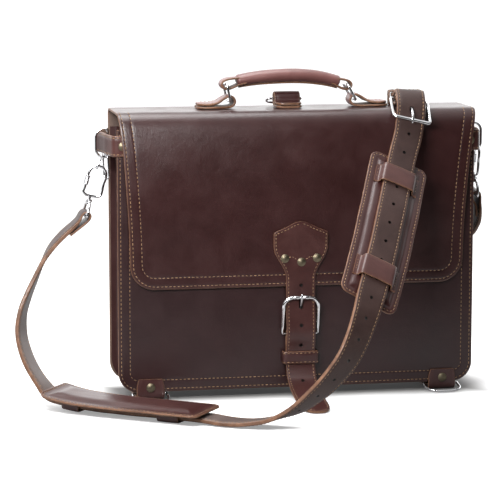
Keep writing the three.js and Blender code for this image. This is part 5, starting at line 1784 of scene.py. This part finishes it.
def handle():
    table, _ = spline([[x, 0, z, height, depth] for x, z, height, depth in GRIP], 1.6)
    rings = []
    for key, along in zip(table, tangents(table[:, :3])):
        point, height, depth = key[:3], key[3], key[4]
        up = np.cross(along, Y)
        ring = []
        for j in range(GRIP_SIDES):
            # upright oval, narrowed below towards the welt
            angle = 2 * math.pi * j / GRIP_SIDES
            dy, dz = depth * math.cos(angle), height * math.sin(angle)
            if dz < 0:
                dy *= 1 - 0.12 * (dz / height) ** 2
            bump = 0.12 * noise3(point[0] / 9, angle, 0.5, 9)
            ring.append(point + Y * dy * (1 + bump * 0.05) + up * (dz + bump))
        rings.append(ring)
    build = Build()
    sweep(build, rings, FACE)
    # welt under the grip
    welt = [(x, 0, z - height - 0.4) for x, z, height, _ in GRIP[2:13]]
    path = Path(strip_keys(welt, -Y, 1.9, 2.6), 2.0)
    strap(build, path, inset=0, crown=0.0, cols=2, rows=False)
    for sign in (-1, 1):
        line = [[q[0], sign * 4.2, q[2] - q[3] * 0.84] for q in table[6:-6]]
        normals = np.tile(unit([0, sign * 0.45, -0.9]), (len(line), 1))
        stitches(build, line, normals, pitch=4.2, length=2.7)
    for loop, sign in ((GRIP_LOOP_LEFT, -1), (GRIP_LOOP_RIGHT, 1)):
        path = Path(strip_keys([(x, 0, z) for x, z in loop], Y * sign, 8.5, 2.3), 1.2)
        strap(build, path, inset=1.9, crown=0.15, cols=5, rows=False)
    # the handle leather's lighter colours are painted light on the grip
    leather_piece(build, "handle", "handle_body", leathers("handle"))


# Tab of the ring on top: y, z, half width
TOP_TAB = [
    [-17, 322.2, 10.0], [-13, 322.2, 13.6], [-4, 322.8, 14.4], [-1, 325.5, 14.4],
    [-0.4, 330, 14.4], [3.0, 333.2, 14.4], [8.4, 332.2, 14.4], [10.8, 327.4, 14.4],
    [9, 321.6, 14.4], [4, 318.9, 14.4], [-5, 318.9, 14.4], [-13, 318.9, 14.0],
    [-17, 318.9, 10.5],
]


def top_ring():
    points = [(-4.8, y, z) for y, z, _ in TOP_TAB]
    path = Path(strip_keys(points, -X, [q[2] for q in TOP_TAB], 2.5), 1.2)
    build = Build()
    strap(build, path, inset=2.3, groove=0.18, crown=0.1, cols=6, ref=14.4, span=(0.3, 2.0))
    leather_piece(build, "top_ring_tab", "flap_body")
    d_ring(
        "top_d_ring", "top_ring", half=18.6, depth=17.5, bend=10,
        origin=(-6.8, 5.2, 326.8), across=X, out=unit([0, 0.943, -0.333]),
    )


# ======================================================================
# stage
# ======================================================================
def floor_material():
    """White floor with a painted shadow under the bag; the near part lights the bag less than it
    shows.
    """
    material, nodes, shader, output = new_material("floor_white")
    math_of = nodes.math
    tone = nodes.noise(nodes.coords(), scale=3.0, detail=2.0, rough=0.5)
    white = nodes.ramp(tone, (0.3, (0.90, 0.90, 0.905)), (0.7, (0.93, 0.93, 0.93)))
    position = nodes.node("NewGeometry").outputs["Position"]
    place = nodes.node("SeparateXYZ", Vector=position).outputs
    # share of the lit floor that other surfaces see, rising towards the back
    share = nodes.remap(place["Y"], -0.50, -0.16, 0.03, 0.5, "SMOOTHSTEP")
    camera = nodes.node("LightPath").outputs["Is Camera Ray"]
    # distance outside the bag's footprint, from its half sizes in metres
    centre = row([0, 0, 0])
    outside = [
        math_of(
            "SUBTRACT",
            math_of("ABSOLUTE", math_of("SUBTRACT", place[axis], float(middle))),
            half,
        )
        for axis, middle, half in (("X", centre[0], 0.197), ("Y", centre[1], 0.036))
    ]
    beyond = math_of("MAXIMUM", *outside)
    # painted shadow: the floor colour and its glow darken over and just beyond the bag's
    # footprint
    shade = nodes.remap(beyond, -0.006, 0.035, 0.12, 1.0, "SMOOTHSTEP")
    painted_shadow_colour = (0.10, 0.095, 0.09)
    nodes.set(
        shader, Base_Color=nodes.mix(shade, painted_shadow_colour, white), Roughness=0.8,
        Specular_IOR_Level=0.1,
    )
    seen = math_of("MAXIMUM", share, camera)
    dark = nodes.node("BsdfDiffuse", Color=(0.02, 0.02, 0.02))
    # a faint glow, stronger to the camera and dimmed by the painted shadow under the bag
    strength = math_of("ADD", math_of("MULTIPLY", camera, 0.29), 0.03)
    glow = nodes.node("Emission", Strength=math_of("MULTIPLY", strength, shade))
    lit = nodes.node("AddShader")
    nodes.put(lit.inputs[0], shader.outputs["BSDF"])
    nodes.put(lit.inputs[1], glow.outputs["Emission"])
    mixed = nodes.node("MixShader", Fac=seen)
    nodes.put(mixed.inputs[1], dark.outputs["BSDF"])
    nodes.put(mixed.inputs[2], lit.outputs["Shader"])
    nodes.set(output, Surface=mixed.outputs["Shader"])
    return material


def make_floor():
    z = float(CAD_BOX[0][2]) - 0.0002
    side, near, far = 16, -16, 26
    corners = [(-side, near, z), (side, near, z), (side, far, z), (-side, far, z)]
    mesh = bpy.data.meshes.new("floor")
    material = floor_material()
    mesh.from_pydata(corners, [], [(0, 1, 2, 3)])
    mesh.materials.append(material)
    floor = bpy.data.objects.new("floor", mesh)
    bpy.context.scene.collection.objects.link(floor)


def make_world():
    """Soft dome and a bright rear, over a dim base; the camera sees plain white."""
    top, rear_glow, base = 1.15, 2.6, 0.02
    world = bpy.data.worlds.new("studio")
    bpy.context.scene.world = world
    nodes = Nodes(world)
    output = nodes.node("OutputWorld")
    generated = nodes.node("TexCoord").outputs["Generated"]
    way = nodes.node("SeparateXYZ", Vector=generated).outputs
    dome = nodes.remap(way["Z"], 0.38, 0.92, 0.0, top, "SMOOTHSTEP")
    rear = nodes.math(
        "MULTIPLY",
        nodes.remap(way["Y"], -0.05, 0.6, 0.0, rear_glow, "SMOOTHSTEP"),
        nodes.remap(way["Z"], 0.9, 0.3, 0.0, 1.0, "SMOOTHSTEP"),
    )
    total = nodes.math("ADD", nodes.math("ADD", dome, rear), base)
    light = nodes.node("Background", Strength=total)
    backdrop = nodes.node("Background", Strength=1.0, Color=(1, 1, 1))
    camera = nodes.node("LightPath").outputs["Is Camera Ray"]
    mixed = nodes.node("MixShader", Fac=camera)
    nodes.put(mixed.inputs[1], light.outputs["Background"])
    nodes.put(mixed.inputs[2], backdrop.outputs["Background"])
    nodes.set(output, Surface=mixed.outputs["Shader"])


def area_light(name, place, target, width, height, power):
    """Rectangular light, in metres and watts, hidden from the camera."""
    light = bpy.data.lights.new(name, "AREA")
    light.shape = "RECTANGLE"
    light.size, light.size_y, light.energy = width, height, power
    light.color = (1, 1, 1)
    obj = bpy.data.objects.new(name, light)
    obj.location = place
    obj.rotation_mode = "QUATERNION"
    aim = Vector(target) - Vector(place)
    obj.rotation_quaternion = aim.to_track_quat("-Z", "Y")
    obj.visible_camera = False
    bpy.context.scene.collection.objects.link(obj)


def make_lights():
    area_light(
        "key_left", place=(-0.36, -0.62, 0.58), target=(-0.10, 0.0, 0.24),
        width=0.46, height=0.16, power=9.4,
    )
    area_light(
        "side_left", place=(-1.3, -0.5, 0.8), target=(0.0, 0.0, 0.15),
        width=0.7, height=0.9, power=3.0,
    )
    area_light(
        "top_soft", place=(-0.15, 0.15, 1.2), target=(0.0, 0.05, 0.2),
        width=0.9, height=0.6, power=13,
    )


def make_camera():
    data = bpy.data.cameras.new("camera")
    data.lens, data.sensor_width = 177.72, 36.0
    data.clip_start, data.clip_end = 0.05, 60
    camera = bpy.data.objects.new("camera", data)
    camera.location = Vector(row([-548.06, -2674.86, 555.14]))
    camera.rotation_euler = (math.radians(81.703), 0, math.radians(-10.621))
    scene = bpy.context.scene
    scene.collection.objects.link(camera)
    scene.camera = camera
    scene.view_settings.view_transform = "Standard"
    scene.view_settings.look = "None"


# ======================================================================
# everything, in order
# ======================================================================
SIDES = (("left", -1), ("right", 1))

front_panel()
back_and_flap()
gusset()
inner_divider()
inner_pocket()
for side_name, side_sign in SIDES:
    shell_hardware(side_name, side_sign)
closure_strap()
closure_rivets()
buckle_chape()
closure_keeper()
closure_buckle()
strap_long()
strap_short()
strap_keeper()
strap_buckle()
pads()
hooks_and_links()
for side_name, side_sign in SIDES:
    handle_tab(side_name, side_sign)
handle_ring("left", bottom=(-70.6, 0, 325.2), top=(-74.2, 0, 343.8))
handle_ring("right", bottom=(70.6, 0, 325.2), top=(61.6, 0, 341.7))
handle()
top_ring()
make_floor()
make_world()
make_lights()
make_camera()
